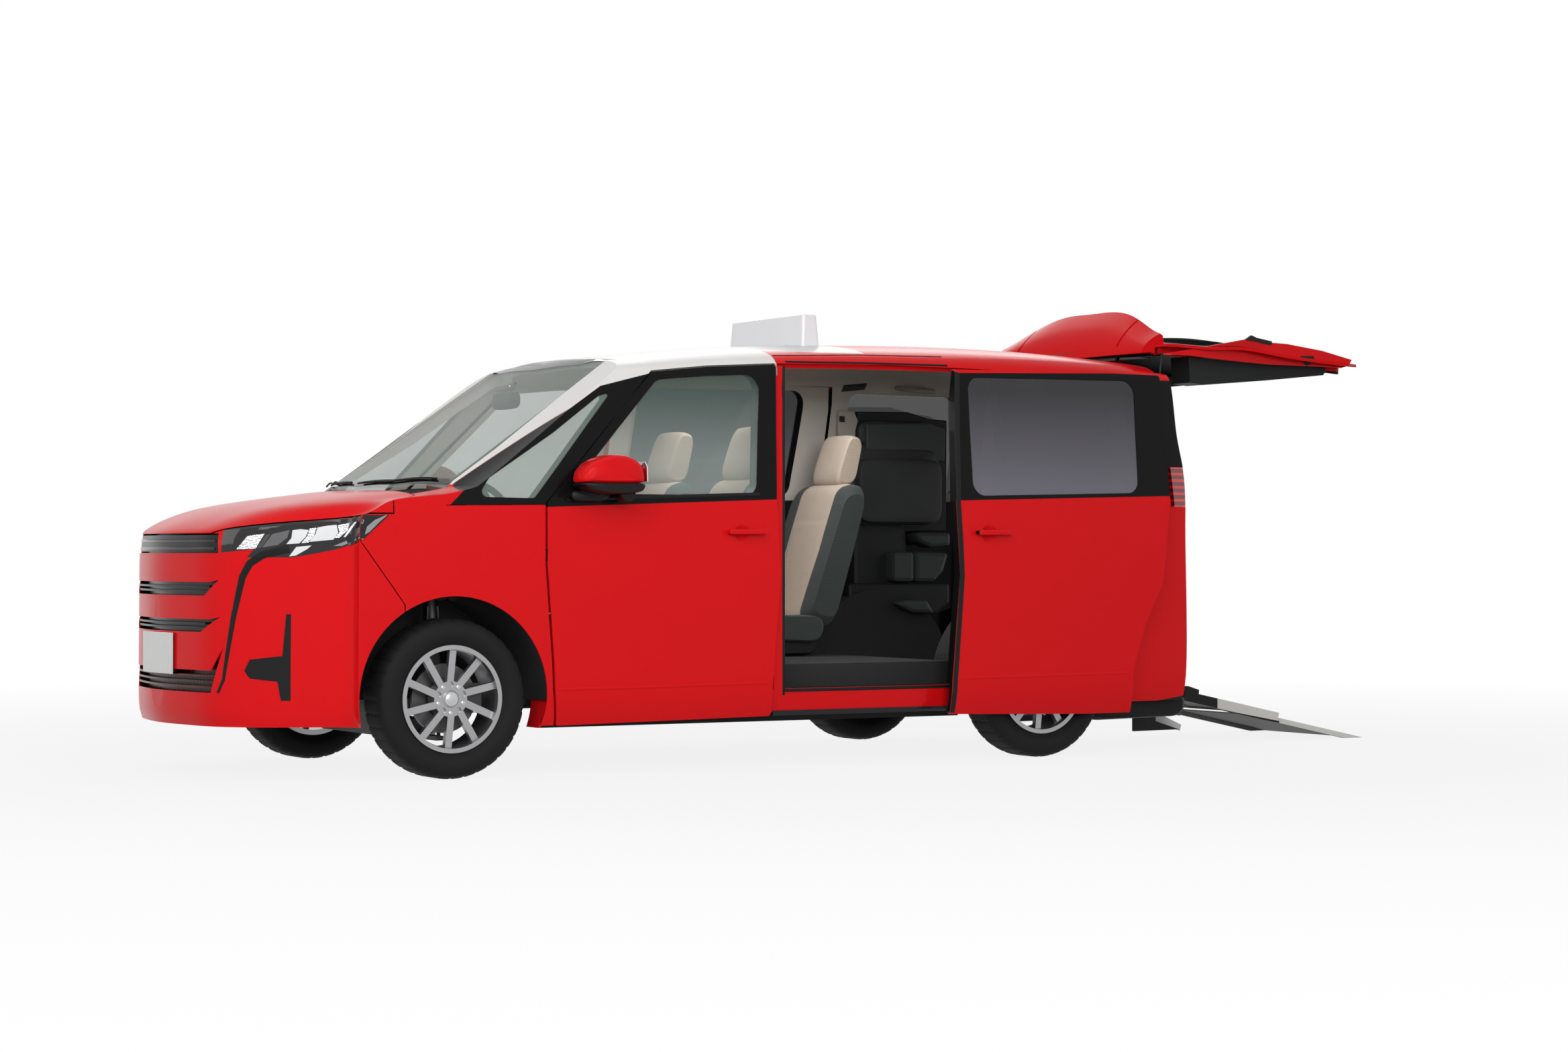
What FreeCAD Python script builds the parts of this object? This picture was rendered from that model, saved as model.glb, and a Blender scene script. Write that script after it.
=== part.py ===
"""Sliding-door people carrier in taxi trim, with a wheelchair ramp, in millimetres.

The vehicle faces -Y, its left side is +X and +Z is up. All pieces are drawn with y = 0 at the
front axle and moved at the end, so that the origin lies on the ground under the middle of the
whole length, ramp included. The tailgate and the left sliding door stand open.
"""
import FreeCAD, Part
import math
import os
import Sketcher
from FreeCAD import Placement, Rotation, Vector

# Driving sizes, kept in the document's sheet
SIZES = (
    ("Wheelbase", 2850.0),
    ("HalfWidth", 865.0),
    ("RoofHeight", 1850.0),
    ("FrontReach", 944.0),
    ("CornerSetback", 700.0),
    ("ScreenSetback", 255.0),
    ("RearSetback", 200.0),
    ("NoseRise", 110.0),
    ("SkinThickness", 5.0),
    ("LidThickness", 14.0),
    ("RoofThickness", 40.0),
    ("WallThickness", 62.0),
    ("StepThickness", 22.0),
    ("GlassInset", 3.0),
    ("GlassThickness", 4.7),
    ("GlassSeat", 8.0),
    ("ShutGap", 6.0),
    ("HingeGap", 10.0),
    ("RunningGap", 6.0),
    ("SeatGap", 0.3),
    ("Overrun", 400.0),
    ("TyreRadius", 322.0),
    ("TyreWidth", 205.0),
    ("RimSeatRadius", 203.0),
    ("RimLipRadius", 217.0),
    ("RimWidth", 168.0),
    ("RimWall", 8.0),
    ("SpokeCount", 10.0),
    ("SpokeThickness", 26.0),
    ("SpokeWidth", 34.0),
    ("HubRadius", 76.0),
    ("HubCapRadius", 31.0),
    ("HubFace", 68.0),
    ("LugCount", 5.0),
    ("LugCircle", 57.0),
    ("LugRecess", 13.0),
    ("DiscRadius", 140.0),
    ("DiscThickness", 22.0),
    ("DiscInset", 5.0),
    ("BellRadius", 80.0),
    ("HubSeat", 20.0),
    ("FrontTrack", 1500.0),
    ("RearTrack", 1515.0),
    ("ArchHeight", 330.0),
    ("FrontArchRadius", 405.0),
    ("RearArchRadius", 395.0),
    ("WellInner", 425.0),
    ("RearWellInner", 555.0),
    ("LinerThickness", 5.0),
    ("KingpinLean", 8.7),
    ("BallJointIn", 60.0),
    ("BallJointHeight", 190.0),
    ("BallStud", 22.0),
    ("ArmThickness", 18.0),
    ("StrutRadius", 26.0),
    ("StrutRodRadius", 11.0),
    ("SpringRadius", 62.0),
    ("StrutBottom", 640.0),
    ("StrutTop", 930.0),
    ("SpindleRadius", 24.0),
    ("CarrierRadius", 46.0),
    ("FloorHeight", 430.0),
    ("LoadFloorHeight", 330.0),
    ("FloorThickness", 25.0),
    ("FloorEnd", 3560.0),
    ("SillInner", 700.0),
    ("SillBottom", 195.0),
    ("SillTop", 331.0),
    ("PostDepth", 60.0),
    ("PillarInset", 68.0),
    ("PillarDepth", 36.0),
    ("DoorAxisIn", 16.0),
    ("DoorAxisBack", 32.0),
    ("DoorEdge", 424.0),
    ("DoorFlange", 10.0),
    ("PostReach", 54.0),
    ("PinRadius", 4.0),
    ("PinHole", 4.3),
    ("KnuckleRadius", 8.0),
    ("LeafHeight", 36.0),
    ("NotchHeight", 48.0),
    ("LowHingeHeight", 640.0),
    ("HighHingeHeight", 900.0),
    ("SlideTravel", 850.0),
    ("SlideOut", 70.0),
    ("BonnetAxisY", -100.0),
    ("BonnetAxisZ", 1150.0),
    ("BonnetHingeX", 600.0),
    ("GateAxisY", 3560.0),
    ("GateAxisDepth", 12.0),
    ("GateAxisZ", 1794.0),
    ("GateLead", 24.0),
    ("RoofLead", 14.0),
    ("GateOpenAngle", 85.0),
    ("GateHingeX", 420.0),
    ("GateArmWidth", 14.0),
    ("NotchWidth", 40.0),
    ("NotchDepth", 34.0),
    ("SpoilerReach", 270.0),
    ("SpoilerDrop", 122.0),
    ("SpoilerHalfWidth", 640.0),
    ("SpoilerThickness", 16.0),
    ("StayX", 625.0),
    ("StayTubeRadius", 9.0),
    ("StayRodRadius", 4.0),
    ("StayTubeLength", 400.0),
    ("StayGateY", 106.0),
    ("StayGateZ", 33.0),
    ("StayFootY", 3592.0),
    ("StayFootZ", 1190.0),
    ("RampAxisY", 3606.0),
    ("RampAxisZ", 306.0),
    ("RampToeReach", 5070.0),
    ("RampHalfWidth", 400.0),
    ("RampDeck", 8.0),
    ("RampSide", 46.0),
    ("RampSideWidth", 22.0),
    ("RampMainLength", 940.0),
    ("RampSlideDeck", 6.0),
    ("RampSlideSide", 24.0),
    ("RampLap", 60.0),
    ("RampEar", 16.0),
    ("MirrorReach", 1000.0),
    ("SignWidth", 680.0),
    ("SignDepth", 95.0),
    ("SignHeight", 118.0),
    ("SignFront", 1905.0),
    ("SignTaper", 12.0),
    ("DriverX", 370.0),
    ("SeatWidth", 500.0),
    ("SeatDepth", 520.0),
    ("SeatHeight", 1000.0),
    ("HeadrestWidth", 250.0),
    ("SteeringRadius", 185.0),
    ("SteeringRim", 15.0),
    ("SteeringY", 760.0),
    ("SteeringZ", 1040.0),
    ("SteeringLean", 62.0),
    ("ColumnRadius", 22.0),
    ("EngineWidth", 580.0),
    ("EngineLength", 560.0),
    ("EngineHeight", 600.0),
    ("EngineFront", -520.0),
    ("EngineBottom", 220.3),
    ("TankLength", 620.0),
    ("TankWidth", 640.0),
    ("TankCentre", 150.0),
    ("TankHeight", 180.0),
    ("TankFront", 1500.0),
    ("TankBottom", 224.7),
    ("PipeRadius", 28.0),
    ("MufflerRadius", 105.0),
    ("MufflerLength", 380.0),
    ("BeamRadius", 44.0),
    ("CoilRadius", 40.0),
    ("SpringTop", 640.0),
)


def make_document():
    """Open the document and write the driving sizes into its sheet."""
    document = FreeCAD.newDocument("taxi")
    table = document.addObject("Spreadsheet::Sheet", "Sizes")
    for row, (alias, size) in enumerate(SIZES, start=1):
        table.set(f"A{row}", alias)
        table.set(f"B{row}", str(size))
        table.setAlias(f"B{row}", alias)
    document.recompute()
    return document, table


doc, sheet = make_document()


class Sheet:
    """The sheet's sizes as plain attributes."""


S = Sheet()
for size_name, _ in SIZES:
    setattr(S, size_name, float(sheet.get(size_name)))

# Section of the body: shares of the half width and of the roof height, sill to crest
LOWER_SIDE_SHARES = ((0.965, 0.103), (0.985, 0.135), (1.0, 0.193), (1.0, 0.303), (1.0, 0.411),
                     (0.994, 0.514), (0.983, 0.6135))
UPPER_SIDE_SHARES = ((0.983, 0.6135), (0.950, 0.697), (0.913, 0.781), (0.882, 0.859), (0.855, 0.921))
ROOF_SHARES = ((0.855, 0.921), (0.800, 0.954), (0.650, 0.976), (0.350, 0.993), (0.0, 1.0))
BELT_SHARE = UPPER_SIDE_SHARES[0][1]
RAIL_SHARE = ROOF_SHARES[0][1]

# Stations along the wheelbase: place, width, rail height and crest height, as shares
STATION_SHARES = ((-0.38, 0.950, 0.952, 0.900), (-0.07, 0.985, 0.955, 0.919), (0.175, 1.0, 0.967, 0.927),
                  (0.316, 1.0, 0.978, 0.948), (0.526, 1.0, 0.996, 0.982), (0.772, 1.0, 1.0, 1.0),
                  (1.053, 1.0, 1.0, 1.0), (1.249, 0.985, 0.993, 0.981), (1.36, 0.93, 0.988, 0.965))

# Side view of the body: shares of the wheelbase and roof height, then how much of the front,
# screen and rear setback and of the nose rise each point takes
FASCIA_SHARES = ((-0.325, 0.1027, 1, 0, 0, 0), (-0.329, 0.130, 1, 0, 0, 0), (-0.332, 0.178, 1, 0, 0, 0.1),
                 (-0.3316, 0.324, 1, 0, 0, 0.4), (-0.3312, 0.432, 1, 0, 0, 0.7),
                 (-0.330, 0.497, 1, 0, 0, 0.9), (-0.3253, 0.5324, 1, 0, 0, 1.0))
BONNET_SHARES = ((-0.3253, 0.5324, 1, 0, 0, 1.0), (-0.3018, 0.5557, 1, 0, 0, 0.8),
                 (-0.2456, 0.586, 0.85, 0, 0, 0.5), (-0.1684, 0.6097, 0.6, 0.4, 0, 0.15),
                 (-0.0877, 0.626, 0.25, 0.75, 0, 0), (-0.0333, 0.6368, 0, 1, 0, 0))
SCREEN_SHARES = ((-0.0333, 0.6368, 0, 1, 0, 0), (0.1263, 0.790, 0, 0.7, 0, 0),
                 (0.2807, 0.9395, 0, 0.4, 0, 0), (0.414, 1.068, 0, 0.3, 0, 0))
TOP_SHARES = ((0.414, 1.068, 0, 0.3, 0, 0), (1.221, 1.068, 0, 0, 0, 0))
REAR_SHARES = ((1.221, 1.068, 0, 0, 0, 0), (1.263, 0.989, 0, 0, -0.3, 0), (1.2947, 0.927, 0, 0, -0.6, 0),
               (1.3105, 0.7935, 0, 0, -1, 0), (1.3186, 0.689, 0, 0, -1, 0), (1.3165, 0.5627, 0, 0, -1, 0),
               (1.3165, 0.411, 0, 0, -1, 0), (1.3175, 0.270, 0, 0, -1, 0), (1.314, 0.162, 0, 0, -1, 0),
               (1.3035, 0.1027, 0, 0, -1, 0))

# Stations across the half width: place, then front, screen and rear setback and nose rise
ACROSS_SHARES = ((0.0, 0.0, 0.0, 0.0, 0.0), (0.35, 0.05, 0.09, 0.06, 0.045), (0.56, 0.137, 0.27, 0.2, 0.13),
                 (0.75, 0.449, 0.55, 0.35, 0.33), (0.93, 0.77, 0.78, 0.5, 0.64), (1.12, 1.3, 1.0, 0.75, 1.0))

# Outlines in side view: shares of the wheelbase and of the roof height
FRONT_DOOR_SHARES = ((0.1446, 0.602), (0.1428, 0.4654), (0.1528, 0.254), (0.1545, 0.193), (0.1600, 0.110),
                     (0.511, 0.118), (0.5116, 0.194), (0.5253, 0.438), (0.5211, 0.6135), (0.542, 0.926),
                     (0.4256, 0.9157), (0.332, 0.9005))
FRONT_DOOR_GLASS_SHARES = ((0.176, 0.622), (0.487, 0.622), (0.512, 0.902), (0.4256, 0.895), (0.338, 0.882))
SLIDING_DOOR_SHARES = ((0.5134, 0.112), (0.514, 0.194), (0.5277, 0.438), (0.5235, 0.6135), (0.5464, 0.926),
                       (0.742, 0.931), (0.936, 0.9275), (0.929, 0.630), (0.911, 0.42), (0.874, 0.31),
                       (0.853, 0.21), (0.853, 0.100))
SLIDING_DOOR_GLASS_SHARES = ((0.556, 0.625), (0.868, 0.636), (0.884, 0.912), (0.5685, 0.908))
QUARTER_GLASS_SHARES = ((0.036, 0.613), (0.124, 0.611), (0.262, 0.852), (0.241, 0.842), (0.163, 0.757),
                        (0.056, 0.655))
REAR_GLASS_SHARES = ((0.965, 0.640), (1.215, 0.648), (1.19, 0.905), (0.970, 0.908))
BODY_SIDE_SHARES = ((-0.012, 0.595), (0.2, 0.599), (0.2, 0.182), (0.86, 0.182), (0.86, 0.14), (1.40, 0.14),
                    (1.40, 1.05), (-0.1, 1.05))
FENDER_SHARES = ((-0.074, 0.30), (-0.074, 0.379), (-0.136, 0.510), (-0.139, 0.5146), (-0.150, 0.580),
                 (-0.05, 0.66), (0.028, 0.649), (-0.013, 0.5935), (0.1411, 0.5965), (0.1393, 0.4654),
                 (0.1491, 0.254), (0.1508, 0.193), (0.156, 0.111), (0.12, 0.111), (0.0, 0.30))
FRONT_BUMPER_SHARES = ((-0.40, 0.117), (-0.40, 0.62), (-0.158, 0.62), (-0.1408, 0.5165), (-0.1378, 0.510),
                       (-0.0758, 0.379), (-0.0758, 0.24), (-0.133, 0.117))
REAR_BUMPER_SHARES = ((1.10, 0.120), (1.10, 0.25), (1.13, 0.305), (1.225, 0.355), (1.40, 0.365),
                      (1.40, 0.120))
PILLAR_SHARES = ((0.486, 0.17), (0.531, 0.17), (0.540, 0.438), (0.536, 0.6135), (0.568, 0.945),
                 (0.530, 0.945), (0.503, 0.6135), (0.500, 0.438))

# Outlines in front view: shares of the half width and of the roof height
LAMP_SHARES = ((0.555, 0.544), (0.947, 0.5775), (0.925, 0.5146), (0.76, 0.4815), (0.652, 0.4815),
               (0.672, 0.4985), (0.558, 0.4915))
GATE_SHARES = ((0.0, 0.295), (0.735, 0.295), (0.80, 0.345), (0.815, 0.486), (0.815, 0.604), (0.80, 0.703),
               (0.745, 0.91), (0.70, 1.05), (0.0, 1.05))
GATE_TRIM_SHARES = ((0.0, 0.315), (0.68, 0.315), (0.692, 0.60), (0.66, 0.915), (0.62, 0.96), (0.0, 0.96))
GATE_GLASS_SHARES = ((0.0, 0.628), (0.76, 0.628), (0.748, 0.70), (0.69, 0.905), (0.0, 0.915))
GATE_WINDOW_SHARES = ((0.0, 0.650), (0.62, 0.650), (0.60, 0.75), (0.57, 0.875), (0.0, 0.885))
TAIL_LAMP_SHARES = ((0.817, 0.604), (1.04, 0.604), (1.04, 0.702), (0.803, 0.702))
UPPER_GRILLE_SHARES = ((-0.545, 0.4905), (0.545, 0.4905), (0.535, 0.533), (-0.535, 0.533))
UPPER_SLOT_SHARES = ((-0.465, 0.399), (0.465, 0.399), (0.55, 0.433), (0.50, 0.428), (-0.50, 0.428),
                     (-0.55, 0.433))
LOWER_SLOT_SHARES = ((-0.437, 0.3205), (0.437, 0.3205), (0.56, 0.353), (0.50, 0.348), (-0.50, 0.348),
                     (-0.56, 0.353))
INTAKE_SHARES = ((-0.51, 0.190), (0.51, 0.190), (0.575, 0.290), (0.51, 0.238), (-0.51, 0.238),
                 (-0.575, 0.290))
VENT_SHARES = ((0.745, 0.360), (0.757, 0.360), (0.757, 0.174), (0.735, 0.174), (0.728, 0.215), (0.66, 0.222),
               (0.645, 0.238), (0.66, 0.262), (0.738, 0.270))
NOSE_LINE_SHARES = ((-1.1, 0.5775), (-0.947, 0.5775), (-0.555, 0.544), (-0.48, 0.5335), (0.48, 0.5335),
                    (0.555, 0.544), (0.947, 0.5775), (1.1, 0.5775), (1.1, 0.75), (-1.1, 0.75))

# Outlines in plan: shares of the half width and of the wheelbase
BONNET_PLAN_SHARES = ((-1.1, -0.40), (1.1, -0.40), (1.1, -0.094), (0.948, -0.091), (0.810, -0.0397),
                      (0.69, -0.044), (0.40, -0.0526), (0.0, -0.0579), (-0.40, -0.0526), (-0.69, -0.044),
                      (-0.810, -0.0397), (-0.948, -0.091), (-1.1, -0.094))
SCREEN_PLAN_SHARES = ((0.0, -0.0315), (0.35, -0.021), (0.60, 0.004), (0.752, 0.016), (0.742, 0.10),
                      (0.662, 0.305), (0.60, 0.304), (0.35, 0.288), (0.0, 0.279), (-0.35, 0.288),
                      (-0.60, 0.304), (-0.662, 0.305), (-0.742, 0.10), (-0.752, 0.016), (-0.60, 0.004),
                      (-0.35, -0.021))
ROOF_PLAN_SHARES = ((0.0, 0.2805), (0.35, 0.2895), (0.60, 0.3055), (0.672, 0.3065), (0.80, 0.34), (0.80, 1.40),
                    (-0.80, 1.40), (-0.80, 0.34), (-0.672, 0.3065), (-0.60, 0.3055), (-0.35, 0.2895))
COWL_PLAN_SHARES = ((-0.78, -0.062), (0.78, -0.062), (0.78, -0.005), (0.745, 0.012), (0.60, 0.008),
                    (0.35, -0.017), (0.0, -0.0275), (-0.35, -0.017), (-0.60, 0.008), (-0.745, 0.012),
                    (-0.78, -0.005))

# Pieces smaller than this share of the largest one of a cut are waste
WASTE_SHARE = 0.004

nodes = {}


def side_points(shares):
    return [(along * S.Wheelbase, up * S.RoofHeight) for along, up in shares]


def front_points(shares):
    return [(across * S.HalfWidth, up * S.RoofHeight) for across, up in shares]


def plan_points(shares):
    return [(across * S.HalfWidth, along * S.Wheelbase) for across, along in shares]


def mirrored_outline(shares):
    """Close a half outline whose first and last point lie on level lines at the middle."""
    side = [point for point in shares if point[0] != 0]
    return side + [(-across, up) for across, up in reversed(side)]


def shifted_line(points, distance, closed=False):
    """Move an outline to the left of its direction, with mitred corners."""
    count = len(points)
    result = []
    for index, (first, second) in enumerate(points):
        normals = []
        for start, end in ((index - 1, index), (index, index + 1)):
            if not closed and (start < 0 or end >= count):
                continue
            ahead = points[end % count]
            behind = points[start % count]
            run = ahead[0] - behind[0]
            climb = ahead[1] - behind[1]
            length = math.hypot(run, climb)
            normals.append((-climb / length, run / length))
        across = sum(normal[0] for normal in normals) / len(normals)
        up = sum(normal[1] for normal in normals) / len(normals)
        square = across * across + up * up
        result.append((first + distance * across / square, second + distance * up / square))
    return result


def grown(points, distance):
    """Grow a closed outline outwards by a distance."""
    area = 0.0
    for index, (first, second) in enumerate(points):
        ahead = points[(index + 1) % len(points)]
        area += first * ahead[1] - ahead[0] * second
    turn = -1 if area > 0 else 1
    return shifted_line(points, turn * distance, closed=True)


def rounded_wire(corners, radius):
    """Closed wire through 3-D corners, each corner rounded as far as its sides allow."""
    edges = []
    count = len(corners)
    ends = []
    for index, corner in enumerate(corners):
        back = corners[index - 1].sub(corner)
        ahead = corners[(index + 1) % count].sub(corner)
        half_angle = back.getAngle(ahead) / 2
        room = min(back.Length, ahead.Length) * 0.45
        cut = min(radius / math.tan(half_angle), room) if radius else 0
        if cut < S.SeatGap:
            ends.append((corner, None, corner))
            continue
        arc_radius = cut * math.tan(half_angle)
        back.normalize()
        ahead.normalize()
        middle = back.add(ahead)
        middle.normalize()
        reach = arc_radius / math.sin(half_angle) - arc_radius
        ends.append((corner.add(back.multiply(cut)), corner.add(middle.multiply(reach)),
                     corner.add(ahead.multiply(cut))))
    for index, (start, middle, end) in enumerate(ends):
        if middle is not None:
            edges.append(Part.Arc(start, middle, end).toShape())
        following = ends[(index + 1) % count][0]
        if end.distanceToPoint(following) > S.SeatGap / S.Overrun:
            edges.append(Part.makeLine(end, following))
    return Part.Wire(edges)


def prism_side(points, low, high, radius=0.0):
    """Solid between two x planes from a side-view outline."""
    wire = rounded_wire([Vector(low, along, up) for along, up in points], radius)
    return Part.Face(wire).extrude(Vector(high - low, 0, 0))


def prism_front(points, low, high, radius=0.0):
    """Solid between two y planes from a front-view outline."""
    wire = rounded_wire([Vector(across, low, up) for across, up in points], radius)
    return Part.Face(wire).extrude(Vector(0, high - low, 0))


def prism_plan(points, low, high, radius=0.0):
    """Solid between two z planes from a plan outline."""
    wire = rounded_wire([Vector(across, along, low) for across, along in points], radius)
    return Part.Face(wire).extrude(Vector(0, 0, high - low))


def block(x_low, x_high, y_low, y_high, z_low, z_high):
    corner = Vector(x_low, y_low, z_low)
    return Part.makeBox(x_high - x_low, y_high - y_low, z_high - z_low, corner)


def rod(start, end, radius):
    axis = end.sub(start)
    return Part.makeCylinder(radius, axis.Length, start, axis)


def mirror(shape):
    return shape.mirror(Vector(0, 0, 0), Vector(1, 0, 0))


def fused(pieces):
    """Join solids into one."""
    whole = pieces[0]
    if len(pieces) > 1:
        whole = whole.multiFuse(pieces[1:])
    return whole.removeSplitter()


def whole_pieces(shape):
    """Drop the waste of a cut and keep its real solids."""
    solids = shape.Solids
    largest = max(solid.Volume for solid in solids)
    kept = [solid for solid in solids if solid.Volume > WASTE_SHARE * largest]
    return kept[0] if len(kept) == 1 else Part.makeCompound(kept)


def add(name, shape):
    """Keep a finished shape as a labelled object of the document."""
    piece = doc.addObject("Part::Feature", name)
    piece.Label = name
    piece.Shape = whole_pieces(shape)
    nodes[name] = piece
    return piece


def bind(piece, **expressions):
    for prop, expression in expressions.items():
        piece.setExpression(prop.replace("__", "."), expression)


def smooth_edge(points):
    """Curve through points, one unit of its parameter a point."""
    if len(points) == 2:
        return Part.makeLine(points[0], points[1])
    curve = Part.BSplineCurve()
    curve.interpolate(Points=points, Parameters=[float(index) for index in range(len(points))])
    return curve.toShape()


# The body's skin and everything parallel to it

def section_wire(place, width, rail, crest, inset):
    """Closed cross-section of the body at a place along it."""
    half = []
    for across, up in LOWER_SIDE_SHARES:
        half.append((across * width * S.HalfWidth, up * S.RoofHeight))
    for across, up in UPPER_SIDE_SHARES[1:]:
        climb = (up - BELT_SHARE) / (RAIL_SHARE - BELT_SHARE)
        half.append((across * width * S.HalfWidth, up * S.RoofHeight * (1 + (rail - 1) * climb)))
    for across, up in ROOF_SHARES[1:]:
        climb = (up - RAIL_SHARE) / (1 - RAIL_SHARE)
        low = RAIL_SHARE * rail
        half.append((across * width * S.HalfWidth, S.RoofHeight * (low + (crest - low) * climb)))
    half = shifted_line(half, inset)
    half[0] = (half[0][0], half[0][1] - 2 * inset)
    half[-1] = (0.0, half[-1][1])
    y = place * S.Wheelbase
    left = [Vector(across, y, up) for across, up in half]
    right = [Vector(-across, y, up) for across, up in half]
    belt = len(LOWER_SIDE_SHARES)
    rail_end = belt + len(UPPER_SIDE_SHARES) - 1
    edges = [
        Part.makeLine(right[0], left[0]),
        smooth_edge(left[:belt]),
        smooth_edge(left[belt - 1:rail_end]),
        smooth_edge(left[rail_end - 1:] + right[rail_end - 1:-1][::-1]),
        smooth_edge(right[belt - 1:rail_end][::-1]),
        smooth_edge(right[:belt][::-1]),
    ]
    return Part.Wire(edges)


def profile_wire(across, front, screen, rear, rise, inset):
    """Closed side profile of the body at a place across it."""
    segments = [FASCIA_SHARES, BONNET_SHARES, SCREEN_SHARES, TOP_SHARES, REAR_SHARES]
    if inset > S.RoofThickness / 2:
        segments = [(segment[0], segment[-1]) for segment in segments[:2]] + segments[2:]
    points = []
    for number, segment in enumerate(segments):
        for along, up, front_part, screen_part, rear_part, rise_part in segment[0 if number == 0 else 1:]:
            y = along * S.Wheelbase + front_part * front * S.CornerSetback
            y += screen_part * screen * S.ScreenSetback + rear_part * rear * S.RearSetback
            points.append((y, up * S.RoofHeight + rise_part * rise * S.NoseRise))
    points = shifted_line(points, -inset)
    points[0] = (points[0][0], points[0][1] - 2 * inset)
    points[-1] = (points[-1][0], points[-1][1] - 2 * inset)
    corners = [Vector(across * S.HalfWidth, y, z) for y, z in points]
    edges = []
    start = 0
    for segment in segments:
        end = start + len(segment)
        edges.append(smooth_edge(corners[start:end]))
        start = end - 1
    edges.append(Part.makeLine(corners[-1], corners[0]))
    return Part.Wire(edges)


hulls = {}


def hull(inset):
    """Body volume that lies a given depth below the skin."""
    if inset not in hulls:
        crossways = [section_wire(*station, inset) for station in STATION_SHARES]
        tunnel = Part.makeLoft(crossways, True, False)
        right_stations = [(-station[0],) + station[1:] for station in ACROSS_SHARES[:0:-1]]
        lengthways = [profile_wire(*station, inset) for station in right_stations + list(ACROSS_SHARES)]
        body = tunnel.common(Part.makeLoft(lengthways, True, False))
        if inset == 0:
            far = S.Wheelbase + S.FrontReach + S.Wheelbase
            room = block(-S.Wheelbase, S.Wheelbase, -S.FrontReach, far, 0, S.Wheelbase)
            body = body.common(room)
        hulls[inset] = body
    return hulls[inset]


def layer(outer, inner, region):
    """Part of a region that lies between two depths below the skin."""
    return region.common(hull(outer)).cut(hull(inner))


def wheel_well(place, radius, inner, outer):
    centre = Vector(inner, place, S.ArchHeight)
    return Part.makeCylinder(radius, outer - inner, centre, Vector(1, 0, 0))


FAR = 2 * S.Wheelbase
SIDE_FROM = S.HalfWidth / 2
DEEP = S.WallThickness
GLASS_IN = S.GlassInset + S.GlassThickness
front_well = wheel_well(0, S.FrontArchRadius, SIDE_FROM, FAR)
rear_well = wheel_well(S.Wheelbase, S.RearArchRadius, SIDE_FROM, FAR)

front_door_outline = side_points(FRONT_DOOR_SHARES)
sliding_door_outline = side_points(SLIDING_DOOR_SHARES)
roof_cut = prism_plan(plan_points(ROOF_PLAN_SHARES), S.FloorHeight * 3, FAR)
screen_cut = prism_plan(plan_points(SCREEN_PLAN_SHARES), S.FloorHeight * 2, FAR)
cowl_cut = prism_plan(grown(plan_points(COWL_PLAN_SHARES), S.SeatGap), S.FloorHeight, FAR)


def roof_panel():
    """Roof as thick as its frame, from the windscreen to the tailgate."""
    front = plan_points(ROOF_PLAN_SHARES)[0][1] - S.Overrun
    room = block(-FAR, FAR, front, S.GateAxisY + S.RoofLead, S.GateAxisZ - 2 * DEEP - S.Overrun, FAR)
    return layer(0, S.RoofThickness, roof_cut.common(room))


def make_roof():
    """Roof, notched at the rear edge for the tailgate's two arms."""
    panel = roof_panel()
    low = S.GateAxisZ - 2 * DEEP
    for side in (-1, 1):
        x = side * S.GateHingeX
        start = S.GateAxisY - S.NotchDepth
        notch = block(x - S.NotchWidth / 2, x + S.NotchWidth / 2, start, FAR, low, FAR)
        hole_half = S.NotchWidth / 2 + S.GateArmWidth
        hole = rod(Vector(x - hole_half, S.GateAxisY, S.GateAxisZ),
                   Vector(x + hole_half, S.GateAxisY, S.GateAxisZ), S.PinHole)
        panel = panel.cut(notch).cut(hole)
    add("roof", panel)


def make_windscreen():
    outline = grown(plan_points(SCREEN_PLAN_SHARES), -S.SeatGap)
    region = prism_plan(outline, S.FloorHeight * 2, FAR)
    add("windscreen", layer(S.GlassInset, GLASS_IN, region))


def bonnet_region(gap):
    """Space the bonnet fills, with a gap round it when one is given."""
    plan = prism_plan(grown(plan_points(BONNET_PLAN_SHARES), gap), S.FloorHeight, FAR)
    face = prism_front(grown(front_points(NOSE_LINE_SHARES), gap), -FAR, S.BonnetAxisY + S.Overrun)
    return plan.common(face)


def bonnet_axis(x):
    return Vector(x, S.BonnetAxisY, S.BonnetAxisZ)


def make_bonnet():
    """Bonnet with a hinge plate and pin near each rear corner."""
    lid = whole_pieces(layer(0, S.LidThickness, bonnet_region(0)))
    pieces = [lid]
    plate = S.KnuckleRadius
    for side in (-1, 1):
        x = side * S.BonnetHingeX
        arm = block(x - plate / 2, x + plate / 2, S.BonnetAxisY - S.PostDepth, S.BonnetAxisY,
                    S.BonnetAxisZ - S.PinRadius, S.BonnetAxisZ + S.PinRadius)
        web = block(x - plate / 2, x + plate / 2, S.BonnetAxisY - S.PostDepth,
                    S.BonnetAxisY - S.PostDepth / 2, S.BonnetAxisZ - S.PinRadius, S.BonnetAxisZ + S.PostDepth)
        pin = rod(bonnet_axis(x), bonnet_axis(x + side * 3 * plate), S.PinRadius)
        pieces += [arm.common(hull(S.SkinThickness)), web.common(hull(S.SkinThickness)), pin]
    add("bonnet", fused(pieces))


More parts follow.
